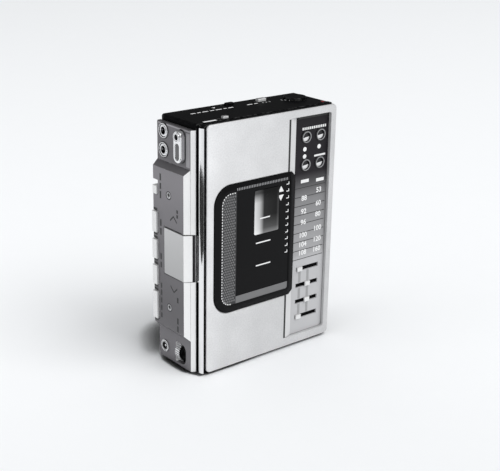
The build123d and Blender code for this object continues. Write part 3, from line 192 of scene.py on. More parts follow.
class Nodes:
    """A short way to write a material or a group as nodes and links."""

    def __init__(self, tree):
        self.tree = tree

    def add(self, kind, settings=None, **inputs):
        node = self.tree.nodes.new(kind)
        for key, value in (settings or {}).items():
            setattr(node, key, value)
        for key, value in inputs.items():
            self.put(node, key.replace("_", " "), value)
        return node

    def put(self, node, socket, value):
        target = node.inputs[int(socket)] if socket.isdigit() else node.inputs[socket]
        if isinstance(value, bpy.types.NodeSocket):
            self.tree.links.new(value, target)
        else:
            target.default_value = value

    def math(self, operation, a, b=0.0, clamp=False):
        node = self.add("ShaderNodeMath", {"operation": operation, "use_clamp": clamp})
        self.put(node, "0", a)
        self.put(node, "1", b)
        return node.outputs[0]

    def swing(self, noise, amount, middle):
        """A noise turned into small changes round a middle value."""
        node = self.add("ShaderNodeMath", {"operation": "MULTIPLY_ADD"})
        self.put(node, "0", self.math("SUBTRACT", noise, 0.5))
        self.put(node, "1", amount)
        self.put(node, "2", middle)
        return node.outputs[0]

    def vector(self, operation, a, b):
        node = self.add("ShaderNodeVectorMath", {"operation": operation})
        self.put(node, "0", a)
        self.put(node, "1", b)
        return node.outputs["Value" if operation == "DOT_PRODUCT" else "Vector"]

    def scale(self, color, factor):
        node = self.add("ShaderNodeVectorMath", {"operation": "SCALE"})
        self.put(node, "0", color)
        self.put(node, "Scale", factor)
        return node.outputs["Vector"]

    def place(self):
        """The place on the object itself."""
        return self.add("ShaderNodeTexCoord").outputs["Object"]

    def parts(self, vector):
        """The X, Y and Z of a vector."""
        return self.add("ShaderNodeSeparateXYZ", Vector=vector).outputs

    def share(self, value, low, high):
        """How far a value lies from one limit to the other, from 0 to 1."""
        node = self.add("ShaderNodeMapRange", Value=value, From_Min=low, From_Max=high)
        return node.outputs[0]

    def ramp(self, value, stops):
        node = self.add("ShaderNodeValToRGB", Fac=value)
        points = node.color_ramp.elements
        while len(points) < len(stops):
            points.new(0.5)
        for point, (at, color) in zip(points, stops):
            point.position = at
            point.color = (*color, 1.0)
        return node.outputs["Color"]

    def mix(self, mask, first, second):
        node = self.add("ShaderNodeMix", {"data_type": "RGBA"})
        self.put(node, "0", mask)
        for socket, color in (("6", first), ("7", second)):
            linked = isinstance(color, bpy.types.NodeSocket)
            self.put(node, socket, color if linked else (*color, 1.0))
        return node.outputs[2]


def tinted(stops, color):
    """Ramp stops that are shares of one colour."""
    return [(at, tuple(amount * part for part in color)) for at, amount in stops]


def greys(stops):
    """Ramp stops in plain grey."""
    return [(at, (amount,) * 3) for at, amount in stops]


def new_group(name, inputs, outputs):
    """An empty shader node group with the named number inputs and the named outputs."""
    tree = bpy.data.node_groups.new(name, "ShaderNodeTree")
    for title, value in inputs:
        socket = tree.interface.new_socket(title, in_out="INPUT", socket_type="NodeSocketFloat")
        socket.default_value = value
    for title, kind in outputs:
        tree.interface.new_socket(title, in_out="OUTPUT", socket_type=kind)
    nodes = Nodes(tree)
    return nodes, nodes.add("NodeGroupInput"), nodes.add("NodeGroupOutput")


CLOUD_SCALE = 55.0
BEND_GAIN = 6.0
PATCH_FROM = 0.45
PATCH_GAIN = 5.0
SPECK_FROM = 0.5
SPECK_GAIN = 1.4


def grain_group():
    """Fine grain of a moulded, sprayed or blasted surface, stretched where it is brushed."""
    nodes, given, out = new_group(
        "surface_grain",
        [("Scale", 4000.0), ("Stretch X", 1.0), ("Stretch Y", 1.0), ("Stretch Z", 1.0)],
        [("Value", "NodeSocketFloat"), ("Cloud", "NodeSocketFloat")])
    place = nodes.place()
    stretch = nodes.add("ShaderNodeCombineXYZ")
    for axis in "XYZ":
        nodes.put(stretch, axis, given.outputs["Stretch " + axis])
    fine = nodes.add("ShaderNodeTexNoise", Scale=given.outputs["Scale"], Detail=3.0,
                     Vector=nodes.vector("MULTIPLY", place, stretch.outputs[0]))
    cloud = nodes.add("ShaderNodeTexNoise", Vector=place, Scale=CLOUD_SCALE, Detail=4.0)
    nodes.put(out, "Value", fine.outputs["Fac"])
    nodes.put(out, "Cloud", cloud.outputs["Fac"])
    return nodes.tree


def edge_group():
    """Rounded edges, and a mask of the rubbed places along them, which also paints highlights on
    the edges.
    """
    nodes, given, out = new_group(
        "worn_edges_and_painted_highlight", [("Radius", 0.0002), ("Patch", 500.0)],
        [("Normal", "NodeSocketVector"), ("Mask", "NodeSocketFloat")])
    soft = nodes.add("ShaderNodeBevel", {"samples": 4}, Radius=given.outputs["Radius"])
    hard = nodes.add("ShaderNodeNewGeometry")
    turn = nodes.vector("DOT_PRODUCT", soft.outputs[0], hard.outputs["True Normal"])
    bent = nodes.math("MULTIPLY", nodes.math("SUBTRACT", 1.0, turn), BEND_GAIN, True)
    patch = nodes.add("ShaderNodeTexNoise", Vector=nodes.place(), Scale=given.outputs["Patch"],
                      Detail=3.0)
    bare = nodes.math("SUBTRACT", patch.outputs["Fac"], PATCH_FROM)
    nodes.put(out, "Normal", soft.outputs[0])
    nodes.put(out, "Mask", nodes.math("MULTIPLY", bent,
                                      nodes.math("MULTIPLY", bare, PATCH_GAIN, True)))
    return nodes.tree


def dust_group():
    """A thin film of dust that settles on what faces up."""
    nodes, given, out = new_group("dust_film", [("Scale", 300.0)], [("Mask", "NodeSocketFloat")])
    facing = nodes.parts(nodes.add("ShaderNodeNewGeometry").outputs["Normal"])
    specks = nodes.add("ShaderNodeTexNoise", Vector=nodes.place(), Scale=given.outputs["Scale"],
                       Detail=6.0)
    thick = nodes.math("SUBTRACT", specks.outputs["Fac"], SPECK_FROM, True)
    film = nodes.math("MULTIPLY", thick, SPECK_GAIN, True)
    nodes.put(out, "Mask", nodes.math("MULTIPLY", film, nodes.math("MAXIMUM", facing["Z"], 0.0)))
    return nodes.tree


GROUPS = {}


def shared(name):
    """One of the shared effects, built the first time that it is asked for."""
    makers = {"grain": grain_group, "edges": edge_group, "dust": dust_group}
    if name not in GROUPS:
        GROUPS[name] = makers[name]()
    return GROUPS[name]


DUST_GREY = (0.35, 0.35, 0.35)
GLOSS_SWING = 0.18


class Finish:
    """A material with grain, soft edges, dust, and lighter edges that are partly rubbed and partly
    painted highlight, each by its own amount.
    """

    def __init__(self, name, color, rough, metallic=0.0, grain=4000.0, bump=0.02,
                 stretch=(1, 1, 1), edge=0.2, edge_wear_and_painted_highlight=0.0, edge_wear_and_painted_highlight_color=(0.6, 0.6, 0.6), dust=0.0,
                 mottle=0.06, specular=0.5, coat=0.0, ior=1.5):
        self.material = bpy.data.materials.new(name)
        self.material.use_nodes = True
        self.material.diffuse_color = (*color, 1.0)
        self.nodes = nodes = Nodes(self.material.node_tree)
        self.bsdf = self.material.node_tree.nodes["Principled BSDF"]
        grit = nodes.add("ShaderNodeGroup", {"node_tree": shared("grain")}, Scale=grain)
        for axis, amount in zip("XYZ", stretch):
            nodes.put(grit, "Stretch " + axis, amount)
        edges = nodes.add("ShaderNodeGroup", {"node_tree": shared("edges")}, Radius=edge * MM)
        shade = nodes.swing(grit.outputs["Cloud"], mottle, 1.0)
        tint = nodes.scale(self.base(color), nodes.swing(grit.outputs["Value"], mottle, shade))
        # Lighter colour along the edges: rubbing, and painted highlight where the edges catch the
        # light.
        if edge_wear_and_painted_highlight:
            mask = nodes.math("MULTIPLY", edges.outputs["Mask"], edge_wear_and_painted_highlight)
            tint = nodes.mix(mask, tint, edge_wear_and_painted_highlight_color)
        if dust:
            film = nodes.add("ShaderNodeGroup", {"node_tree": shared("dust")})
            mask = nodes.math("MULTIPLY", film.outputs["Mask"], dust)
            tint = nodes.mix(mask, tint, DUST_GREY)
        lift = nodes.add("ShaderNodeBump", Strength=1.0, Distance=bump * MM,
                         Height=grit.outputs["Value"], Normal=edges.outputs["Normal"])
        for socket, value in (
                ("Base Color", tint), ("Metallic", metallic), ("Coat Weight", coat), ("IOR", ior),
                ("Roughness", nodes.swing(grit.outputs["Value"], GLOSS_SWING, rough)),
                ("Specular IOR Level", specular), ("Normal", lift.outputs[0])):
            nodes.put(self.bsdf, socket, value)

    def base(self, color):
        """The ground colour; finishes with more tones give their own."""
        return self.nodes.mix(0.0, color, color)


class PaintedLightPanel(Finish):
    """A satin panel with painted light: its grey is painted to change with height, faces that slope
    up get painted shade, and faces toward the front get a painted highlight.
    """

    bright = (0.8, 0.8, 0.8)
    head = 0.0
    foot = 0.0
    tones = ((0.0, 0.69), (0.1, 0.69), (0.18, 0.5), (0.27, 0.48), (0.6, 0.74), (0.78, 0.96),
             (0.83, 0.92), (0.86, 0.52), (1.0, 0.62))
    painted_slope_shade = 0.45
    slope_from = 0.3
    front_from = 0.35

    def base(self, color):
        nodes = self.nodes
        # Painted light and shade: the grey changes with height.
        share = nodes.share(nodes.parts(nodes.place())["Z"], self.foot, self.head)
        tone = nodes.ramp(share, tinted(self.tones, color))
        facing = nodes.parts(nodes.add("ShaderNodeNewGeometry").outputs["True Normal"])
        # Painted shade on faces that slope up.
        slope = nodes.math("GREATER_THAN", facing["Z"], self.slope_from)
        dim = nodes.math("SUBTRACT", 1.0, nodes.math("MULTIPLY", slope, self.painted_slope_shade))
        # Painted highlight on faces toward the front.
        forward = nodes.math("MULTIPLY", facing["Y"], -1.0)
        front = nodes.math("GREATER_THAN", forward, self.front_from)
        return nodes.mix(front, nodes.scale(tone, dim), self.bright)


class PaintedLightPlate(Finish):
    """The satin plate with painted light: a little brighter toward its left edge and its head."""

    low = (0.0, 0.0, 0.0)
    high = (1.0, 1.0, 1.0)
    tones = ((0.0, 1.22), (0.14, 1.12), (0.5, 1.02), (1.0, 0.94))
    lifts = ((0.0, 0.86), (0.35, 0.91), (0.62, 0.94), (0.8, 0.97), (1.0, 1.0))
    gain = 1.08

    def base(self, color):
        nodes = self.nodes
        place = nodes.parts(nodes.place())
        across, upward = (nodes.share(place[axis], self.low[axis], self.high[axis])
                          for axis in (0, 2))
        # Painted light: brighter toward the left edge and the head, as if lit from there.
        tones = [(at, self.gain * amount) for at, amount in self.tones]
        return nodes.vector("MULTIPLY", nodes.ramp(across, tinted(tones, color)),
                            nodes.ramp(upward, greys(self.lifts)))


class Paper(Finish):
    """The ground: pale all over, with painted shade that makes it a little greyer toward the
    camera's side.
    """

    way = (0.0, 0.0, 0.0)
    reach = 0.32
    dimmed = 0.82

    def base(self, color):
        nodes = self.nodes
        run = nodes.vector("DOT_PRODUCT", nodes.place(), self.way)
        # Painted shade: the ground greys toward the camera.
        stops = tinted(((0.0, 1.0), (1.0, self.dimmed)), color)
        return nodes.ramp(nodes.share(run, 0.0, self.reach), stops)


class Shaded(Finish):
    """The tuner panel: a silver slope at its left, then a print that pales to the foot."""

    silver = (0.7, 0.7, 0.7)
    pale = (0.6, 0.6, 0.6)
    slope_right = 0.0
    top = 0.0
    foot = 0.0
    steps = ((0.0, 0.0), (0.12, 0.14), (0.3, 0.42), (0.66, 0.60), (0.92, 0.72), (1.0, 0.95))

    def base(self, color):
        nodes = self.nodes
        place = nodes.parts(nodes.place())
        tones = [(at, tuple(dark + (pale - dark) * part for dark, pale in zip(color, self.pale)))
                 for at, part in self.steps]
        tone = nodes.ramp(nodes.share(place["Z"], self.top, self.foot), tones)
        slope = nodes.math("LESS_THAN", place["X"], self.slope_right)
        return nodes.mix(slope, tone, self.silver)


class SmokedLensPaintedReflection(Finish):
    """The smoked lens with a painted reflection: a pale sheen down its left that fades to the right
    and the top.
    """

    low = (0.0, 0.0, 0.0)
    high = (1.0, 1.0, 1.0)
    sheen = ((0.0, 0.75), (0.2, 0.52), (0.38, 0.02), (0.9, 0.006), (0.97, 0.05), (1.0, 0.02))
    foot = ((0.0, 0.20), (0.12, 0.06), (0.4, 0.0))
    shade = ((0.0, 1.0), (0.72, 0.9), (0.93, 0.1))

    def base(self, color):
        nodes = self.nodes
        place = nodes.parts(nodes.place())
        across, upward = (nodes.share(place[axis], self.low[axis], self.high[axis])
                          for axis in (0, 2))
        # Painted reflection: pale down the left and along the foot, with painted shade toward the
        # top.
        light = nodes.vector("ADD", nodes.ramp(across, greys(self.sheen)),
                             nodes.ramp(upward, greys(self.foot)))
        return nodes.vector("MULTIPLY", light, nodes.ramp(upward, greys(self.shade)))


def lamp(name, color, painted_glow=0.05):
    """A small clear lamp that isn't lit, yet faintly glowing: painted light."""
    finish = Finish(name, color, 0.15, grain=2500.0, bump=0.002, coat=0.6)
    # Painted light: a faint glow though the lamp is off.
    finish.bsdf.inputs["Emission Color"].default_value = (*color, 1.0)
    finish.bsdf.inputs["Emission Strength"].default_value = painted_glow
    return finish


def finishes(look):
    """Every material of the player by its slot."""
    PaintedLightPlate.low, PaintedLightPlate.high = PLATE_LOW, PLATE_HIGH
    SmokedLensPaintedReflection.low, SmokedLensPaintedReflection.high = LENS_LOW, LENS_HIGH
    # The painted highlight on the front faces of the side panel and the keys.
    PaintedLightPanel.bright = look.rim
    PaintedLightPanel.head, PaintedLightPanel.foot = SIDE_HIGH.z, SIDE_LOW.z
    Shaded.pale, Shaded.silver = look.dial_pale, look.silver
    Shaded.slope_right = plate_point(SLOPE_RIGHT, 0, 0).x
    Shaded.top = plate_point(0, 0, DIAL_DARK).z
    Shaded.foot = plate_point(0, 0, DIAL_PALE).z
    made = {
        "satin_silver": PaintedLightPlate(
            "silver_plate_painted_light", look.silver, 0.40, 0.35, grain=1500.0, bump=0.012, edge=0.5,
            edge_wear_and_painted_highlight=0.15, edge_wear_and_painted_highlight_color=(0.85, 0.85, 0.85), mottle=0.34),
        "grey_satin": PaintedLightPanel(
            "side_satin_painted_light", look.side_grey, 0.45, 0.3, grain=3000.0, bump=0.006, edge=0.4,
            edge_wear_and_painted_highlight=0.7, edge_wear_and_painted_highlight_color=(0.7, 0.7, 0.7), mottle=0.14),
        "bright_key": PaintedLightPanel(
            "key_satin_painted_light", look.key, 0.36, 0.45, grain=9000.0, bump=0.003, edge=0.3,
            edge_wear_and_painted_highlight=0.2, edge_wear_and_painted_highlight_color=(0.85, 0.85, 0.85), mottle=0.05),
        "black_case": Finish(
            "case_black", look.case, 0.44, grain=5200.0, bump=0.012, edge=0.6, edge_wear_and_painted_highlight=0.8,
            edge_wear_and_painted_highlight_color=(0.17, 0.17, 0.17), dust=0.006, mottle=0.2, specular=0.07, ior=1.2),
        "window_black": Finish(
            "window_black", look.window, 0.12, grain=3000.0, bump=0.001, edge=0.45,
            dust=0.012, mottle=0.1, specular=0.07),
        "clear_lens": SmokedLensPaintedReflection(
            "lens_smoked_painted_reflection", (0.02, 0.02, 0.022), 0.12, grain=3000.0, bump=0.001, edge=0.2,
            mottle=0.05, specular=0.1, coat=0.08),
        "chrome": Finish(
            "bright_chrome", look.chrome, 0.10, 1.0, grain=3000.0, bump=0.001, edge=0.2,
            mottle=0.03),
        "tuner_print": Shaded(
            "tuner_print", look.dial_dark, 0.38, grain=7000.0, bump=0.003, edge=0.15,
            dust=0.02, mottle=0.06, specular=0.15),
        "white_tab": Finish(
            "pale_tab", look.tab, 0.30, 0.25, grain=4000.0, bump=0.003, edge=0.2, mottle=0.05),
        "steel": Finish(
            "plated_steel", look.steel, 0.28, 0.95, grain=5000.0, bump=0.004,
            stretch=(0.1, 1, 1), edge=0.12, edge_wear_and_painted_highlight=0.2, edge_wear_and_painted_highlight_color=(0.75, 0.75, 0.75), mottle=0.12),
        "brass": Finish(
            "turned_brass", look.brass, 0.25, 1.0, grain=5000.0, bump=0.003, edge=0.12,
            mottle=0.12),
        "rubber": Finish(
            "black_rubber", (0.02, 0.02, 0.02), 0.75, grain=5000.0, bump=0.02, edge=0.2,
            dust=0.25, mottle=0.25, specular=0.3),
        "board": Finish(
            "circuit_board", look.board, 0.4, grain=2600.0, bump=0.01, edge=0.08, mottle=0.35,
            dust=0.1),
        "ferrite": Finish(
            "ferrite_grey", (0.035, 0.033, 0.034), 0.6, grain=3500.0, bump=0.02, edge=0.2,
            mottle=0.3),
        "trim_chrome": Finish(
            "trim_chrome", look.chrome, 0.07, 1.0, grain=3000.0, bump=0.001, edge=0.05,
            mottle=0.03),
        "bezel_grey": Finish(
            "bezel_grey", look.bezel, 0.35, 0.5, grain=4000.0, bump=0.003, edge=0.1,
            mottle=0.06),
        "trimmer_grey": Finish(
            "trimmer_grey", look.trimmer, 0.3, 0.7, grain=4000.0, bump=0.003, edge=0.1,
            mottle=0.1),
        "side_painted_highlight": Finish(
            "side_painted_highlight", look.side_painted_highlight, 0.42, 0.3, grain=3000.0, bump=0.006, edge=0.01,
            mottle=0.14),
        "moon_painted_highlight": Finish(
            "moon_painted_highlight", look.chrome, 0.4, 0.0, grain=4000.0, bump=0.003, edge=0.01,
            mottle=0.1),
        "window_satin": Finish(
            "window_satin", (0.022, 0.022, 0.024), 0.38, grain=5200.0, bump=0.008, edge=0.02,
            mottle=0.25),
        "band_grey": Finish(
            "band_grey", (0.16, 0.16, 0.163), 0.34, grain=6000.0, bump=0.004, edge=0.02,
            mottle=0.1),
        "lamp": lamp("lamp_red_painted_glow", (0.28, 0.02, 0.02)),
    }
    for name, color, rough, metallic, bump, mottle in (
            ("white_print", look.print_white, 0.5, 0.0, 0.001, 0.08),
            ("black_print", look.print_black, 0.5, 0.0, 0.001, 0.1),
            ("grey_print", (0.12, 0.12, 0.122), 0.5, 0.0, 0.001, 0.1),
            ("ring_grey", (0.42, 0.42, 0.43), 0.4, 0.3, 0.002, 0.08),
            ("guide_grey", (0.33, 0.33, 0.335), 0.5, 0.0, 0.002, 0.1),
            ("rib_painted_highlight", (0.30, 0.30, 0.31), 0.4, 0.0, 0.002, 0.1)):
        made[name] = Finish(name, color, rough, metallic, bump=bump, edge=0.01, mottle=mottle)
    return {slot: finish.material for slot, finish in made.items()}


FINISHES = {}


class Solid:
    """A small piece grown from prisms, each given on one face of the player in millimetres."""

    figure_size = 1.38
    figure_weight = 0.09

    def __init__(self, name, body, slot, finish=None):
        self.mesh = bmesh.new()
        self.name, self.body, self.slot, self.finish = name, body, slot, finish or slot

    def prism(self, points, place, rise):
        """A straight prism on a closed outline; place turns (u, v, height) into the frame."""
        low = [self.mesh.verts.new(place(u, v, 0.0)) for u, v in points]
        high = [self.mesh.verts.new(place(u, v, rise)) for u, v in points]
        self.mesh.faces.new(low[::-1])
        self.mesh.faces.new(high)
        for first in range(len(points)):
            second = (first + 1) % len(points)
            self.mesh.faces.new((low[first], low[second], high[second], high[first]))

    def bar(self, u0, v0, u1, v1, place, rise):
        """A plain oblong from corner to corner."""
        self.prism([(u0, v0), (u1, v0), (u1, v1), (u0, v1)], place, rise)

    def tile(self, u, v, half, place, rise):
        """A plain oblong round its middle, by half its width and half its height."""
        self.bar(u - half[0], v - half[1], u + half[0], v + half[1], place, rise)

    def disc(self, u, v, radius, place, rise, sides=28):
        """A round plate."""
        turns = [math.tau / sides * side for side in range(sides)]
        self.prism([(u + radius * math.cos(turn), v + radius * math.sin(turn)) for turn in turns],
                   place, rise)

    def ring(self, u, v, inner, outer, place, rise, sides=36):
        """A flat ring round a point of the face."""
        turns = [math.tau * side / sides for side in range(sides)]
        loops = [[self.mesh.verts.new(place(u + radius * math.cos(turn),
                                            v + radius * math.sin(turn), lift))
                  for turn in turns]
                 for radius, lift in ((inner, 0), (outer, 0), (outer, rise), (inner, rise))]
        for first, second in zip(loops, loops[1:] + loops[:1]):
            for side in range(sides):
                after = (side + 1) % sides
                self.mesh.faces.new((first[side], first[after], second[after], second[side]))

    def stud(self, u, v, half, place, foot, tip):
        """A low point on a square foot."""
        peak = self.mesh.verts.new(place(u, v, tip))
        ring = [self.mesh.verts.new(place(u + half * across, v + half * up, foot))
                for across, up in ((1, 0), (0, 1), (-1, 0), (0, -1))]
        for first, second in zip(ring, ring[1:] + ring[:1]):
            self.mesh.faces.new((first, second, peak))
        self.mesh.faces.new(ring[::-1])

    def text(self, words, u, v, height, place, rise):
        """Plain figures, drawn with the built-in face and laid on the surface."""
        curve = bpy.data.curves.new("figures", "FONT")
        curve.body = words
        curve.size = height * self.figure_size
        curve.align_x = "CENTER"
        curve.align_y = "CENTER"
        curve.extrude = 0.5
        curve.resolution_u = 3
        curve.offset = self.figure_weight
        holder = bpy.data.objects.new("figures", curve)
        drawn = bpy.data.meshes.new_from_object(holder)
        for vertex in drawn.vertices:
            lift = rise if vertex.co.z > 0 else 0.0
            vertex.co = place(u + vertex.co.x, v + vertex.co.y, lift)
        self.mesh.from_mesh(drawn)
        bpy.data.meshes.remove(drawn)
        bpy.data.objects.remove(holder)
        bpy.data.curves.remove(curve)

    def finish_piece(self):
        """Close the mesh, give it its finish and let it ride on its body."""
        bmesh.ops.recalc_face_normals(self.mesh, faces=self.mesh.faces)
        mesh = bpy.data.meshes.new(self.name)
        self.mesh.to_mesh(mesh)
        self.mesh.free()
        piece = bpy.data.objects.new(self.name, mesh)
        bpy.context.scene.collection.objects.link(piece)
        mesh.materials.append(FINISHES[self.finish])
        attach(piece, self.body)
        return piece


def print_rise(context):
    """How far a print stands on its ground, in millimetres."""
    return context.scene.player_marks.print_t / MM


def on_front(depth):
    """Places on a face that looks forward: u to the right, v up, height out of the face."""
    return lambda u, v, h: plate_point(u, depth - h, v)


def on_left(x):
    """Places on a face that looks left: u back from the front, v up."""
    return lambda u, v, h: plate_point(x - h, u, v)


def on_top(z):
    """Places on a face that looks up: u to the right, v back."""
    return lambda u, v, h: plate_point(u, v, z + h)


def on_rear(y):
    """Places on a face that looks back: u to the right as seen from the front, v up."""
    return lambda u, v, h: plate_point(u, y + h, v)


def raised(place, lift):
    """The same face, moved out by a height."""
    return lambda u, v, h: place(u, v, h + lift)


def in_plate(place, axis):
    """A place of the frame in millimetres from the plate's lower left corner."""
    return (place[axis] - PLATE_LOW[axis]) / MM


def arc_points(u, v, radius, start, sweep, steps):
    """Places along an arc, with its angles in degrees."""
    turns = [math.radians(start + sweep * step / steps) for step in range(steps + 1)]
    return [(u + radius * math.cos(turn), v + radius * math.sin(turn)) for turn in turns]


def outline_points(low, high, radius, steps=8):
    """A rectangle whose two left corners are round."""
    left = low[0] + radius
    return [(high[0], low[1]), (high[0], high[1]),
            *arc_points(left, high[1] - radius, radius, 90, 90, steps),
            *arc_points(left, low[1] + radius, radius, 180, 90, steps)]


def pill_points(u, low, high, radius, steps=12):
    """An upright slot outline with round ends."""
    return [*arc_points(u, high - radius, radius, 0, 180, steps),
            *arc_points(u, low + radius, radius, 180, 180, steps)]


def arrow_points(u, v, size, way):
    """A triangle that points up or down: half its width, its foot and its tip from a place."""
    half, foot, tip = size
    return [(u - half, v - foot * way), (u + half, v - foot * way), (u, v + tip * way)]


def walk(points, pitch):
    """Evenly spaced places along an open line, each with its direction."""
    spots, carried = [], 0.0
    for start, end in zip(points, points[1:]):
        run = Vector(end) - Vector(start)
        place = pitch - carried
        while place < run.length:
            spots.append((Vector(start) + run.normalized() * place, run.normalized()))
            place += pitch
        carried = run.length - (place - pitch)
    return spots


OWN_FINISH = {"trimmer_bezels": "bezel_grey", "door_trim": "trim_chrome", "tape_head": "steel"}
OWN_FINISH.update({f"preset_trimmer_{number}": "trimmer_grey" for number in range(1, 5)})


class PLAYER_OT_finishes(bpy.types.Operator):
    """Give every part its finish"""

    bl_idname = "player.finishes"
    bl_label = "Finishes"

    def execute(self, context):
        FINISHES.update(finishes(context.scene.player_finishes))
        slots = {row["node"]: row["material_slot"] for row in frame["record"]["subparts"]}
        for name, part in frame["nodes"].items():
            part.data.materials.clear()
            part.data.materials.append(FINISHES[OWN_FINISH.get(name, slots[name])])
        return {"FINISHED"}


# The marks' sizes and places are in millimetres, from the front plate's lower left corner.

# Cassette window: the woven band, the foot, and the pane with its ribs
BAND_INSET = 3.7
BAND_SINK = 0.15
BAND_R = 5.3
PANE_LEFT = 16.3
PANE_LOW = 34.6
PANE_HEAD = 1.9
PANE_SINK = 0.3
RIB_INSET = 0.3
RIB_LOW = 1.35
RIB_HIGH = 0.15
RIB_SHARE = 0.45
WEAVE_SHARE = 0.46
WEAVE_PRINTS = 5
RIM_DOT_INSET = 0.3
RIM_DOT_LONG = 0.34
RIM_DOT_WIDE = 0.28
# Lines on the pane: start, end and height
TICKS = ((30.0, 36.0, 69.6), (28.0, 36.7, 57.9), (28.2, 37.0, 46.8))
TICK_HALF = 0.3
# Arrows on the pane: height and way
TRIANGLES = ((81.4, 1), (77.3, -1))
TRIANGLE_X = 42.5
TRIANGLE = (1.7, 1.3, 1.5)
# Scale at the right of the pane: hooks of a foot and a stem
SCALE_X = 46.6
SCALE_LOW = 49.4
SCALE_STEP = 3.35
SCALE_MARKS = 11
SCALE_HALF = 0.8
SCALE_LINE = 0.4
SCALE_STEM = 1.3


class PLAYER_OT_window(bpy.types.Operator):
    """Add the band, the dotted line, the ribs and the marks of the cassette window"""

    bl_idname = "player.window"
    bl_label = "Window"

    def execute(self, context):
        marks = context.scene.player_marks
        rise = print_rise(context)
        left, low = (in_plate(WINDOW_LOW, axis) + BAND_INSET for axis in (0, 2))
        right, high = (in_plate(WINDOW_HIGH, axis) - BAND_INSET for axis in (0, 2))
        face = in_plate(WINDOW_LOW, 1)
        sunk, pane = on_front(face + BAND_SINK), on_front(face + PANE_SINK)
        self.band(left, low, high, sunk, rise, marks.weave_pitch / MM)
        foot = Solid("window_foot", "door", "window_black", "band_grey")
        foot.bar(PANE_LEFT, low, right, PANE_LOW, sunk, rise)
        foot.finish_piece()
        self.ribs(right, marks.rib_pitch / MM, pane, rise)
        rim = outline_points((left + RIM_DOT_INSET, low + RIM_DOT_INSET),
                             (right, high - RIM_DOT_INSET), BAND_R - RIM_DOT_INSET)
        self.dots(walk(rim[1:], marks.dot_pitch / MM), raised(sunk, rise), rise)
        self.scale(pane, rise)
        return {"FINISHED"}

    def band(self, left, low, high, sunk, rise, pitch):
        """The band at the left with its raised weave."""
        band = Solid("window_band", "door", "window_black", "window_satin")
        band.prism(outline_points((left, low), (PANE_LEFT, high), BAND_R), sunk, rise)
        band.finish_piece()
        weave = Solid("window_weave", "door", "window_black", "band_grey")
        half = 0.5 * pitch
        for row in range(int((high - low) / pitch)):
            for column in range(int((PANE_LEFT - left) / pitch)):
                u = left + (column + 0.5 + 0.5 * (row % 2)) * pitch
                v = low + (row + 0.5) * pitch
                corner = (max(left + BAND_R - u, 0.0),
                          max(low + BAND_R - v, v - high + BAND_R, 0.0))
                if math.hypot(*corner) < BAND_R - half and u + half < PANE_LEFT:
                    weave.stud(u, v, WEAVE_SHARE * pitch, sunk, rise, WEAVE_PRINTS * rise)
        weave.finish_piece()

    def ribs(self, right, pitch, pane, rise):
        """Fine ribs between the pane and the rim, drawn as flat grey bars of painted highlight."""
        # Painted highlight on the lit faces of the ribs.
        ribs = Solid("window_ribs", "door", "window_black", "rib_painted_highlight")
        left = PANE_LEFT + RIB_INSET
        top = in_plate(WINDOW_HIGH, 2) - PANE_HEAD
        for step in range(int((right - left) / pitch)):
            u = left + step * pitch
            ribs.bar(u, top - RIB_LOW, u + RIB_SHARE * pitch, top - RIB_HIGH, pane, rise)
        ribs.finish_piece()

    def dots(self, spots, ground, rise):
        """Short dashes along the rim of the band."""
        dots = Solid("window_dots", "door", "tuner_print", "white_print")
        for spot, run in spots:
            if spot.x < PANE_LEFT:
                side = Vector((-run.y, run.x)) * RIM_DOT_WIDE
                end = run * RIM_DOT_LONG
                dots.prism((spot - side - end, spot - side + end,
                            spot + side + end, spot + side - end), ground, rise)
        dots.finish_piece()

    def scale(self, pane, rise):
        """White lines, arrows and the small scale on the pane."""
        lens = on_front(in_plate(LENS_LOW, 1))
        ticks = Solid("window_ticks", "door", "tuner_print", "white_print")
        for start, end, height in TICKS:
            ground = lens if plate_point(0, 0, height).z > LENS_LOW.z else pane
            ticks.bar(start, height - TICK_HALF, end, height + TICK_HALF, ground, rise)
        for height, way in TRIANGLES:
            ticks.prism(arrow_points(TRIANGLE_X, height, TRIANGLE, way), pane, rise)
        right = SCALE_X + SCALE_HALF
        for step in range(SCALE_MARKS):
            foot = SCALE_LOW + step * SCALE_STEP
            head = foot + SCALE_LINE
            ticks.bar(SCALE_X - SCALE_HALF, foot, right, head, pane, rise)
            ticks.bar(right - SCALE_LINE, head, right, foot + SCALE_STEM, pane, rise)
        ticks.finish_piece()


# Tuner panel: dial lines, figures with their heights, dots and bars
TUNER_FLOOR = 1.7
DIAL_LEFT = 53.0
DIAL_RIGHT = 72.2
DIAL_TOP = 78.8
DIAL_FOOT = 42.9
DIAL_LINE_HALF = 0.16
LEFT_FIGURES = (("88", 73.4), ("92", 66.8), ("96", 61.4), ("100", 54.9), ("104", 50.1),
                ("108", 45.9))
RIGHT_FIGURES = (("53", 76.0), ("60", 69.3), ("80", 63.8), ("100", 56.7), ("120", 51.0),
                 ("160", 45.9))
LEFT_COLUMN = 58.9
RIGHT_COLUMN = 68.2
FIGURE_H = 2.5
DOTS = ((58.3, 97.4), (58.3, 93.9), (67.3, 97.5))
DOT_R = 1.08
PRESET_BAR = (64.4, 71.4, 93.3)
PRESET_BAR_HALF = 0.45
BAND_BARS = ((59.0, 81.9), (68.7, 81.1))
BAND_HALF = (2.5, 0.8)
# Row of dashes over the trimmers: start, end and height
HEADING = (56.8, 70.8, 107.2)
HEADING_DASHES = 13
HEADING_HALF = (0.38, 0.62)
RECESS_SHADE = (53.6, 112.1, 72.4, 114.6)
# Trimmers: the bright ring in the bezel, and the painted highlight on the lower part of the face,
# its arc in degrees
SHINE = (2.32, 2.6)
MOON_SHARE = 0.94
MOON_START = 195
MOON_SWEEP = 165
MOON_STEPS = 18


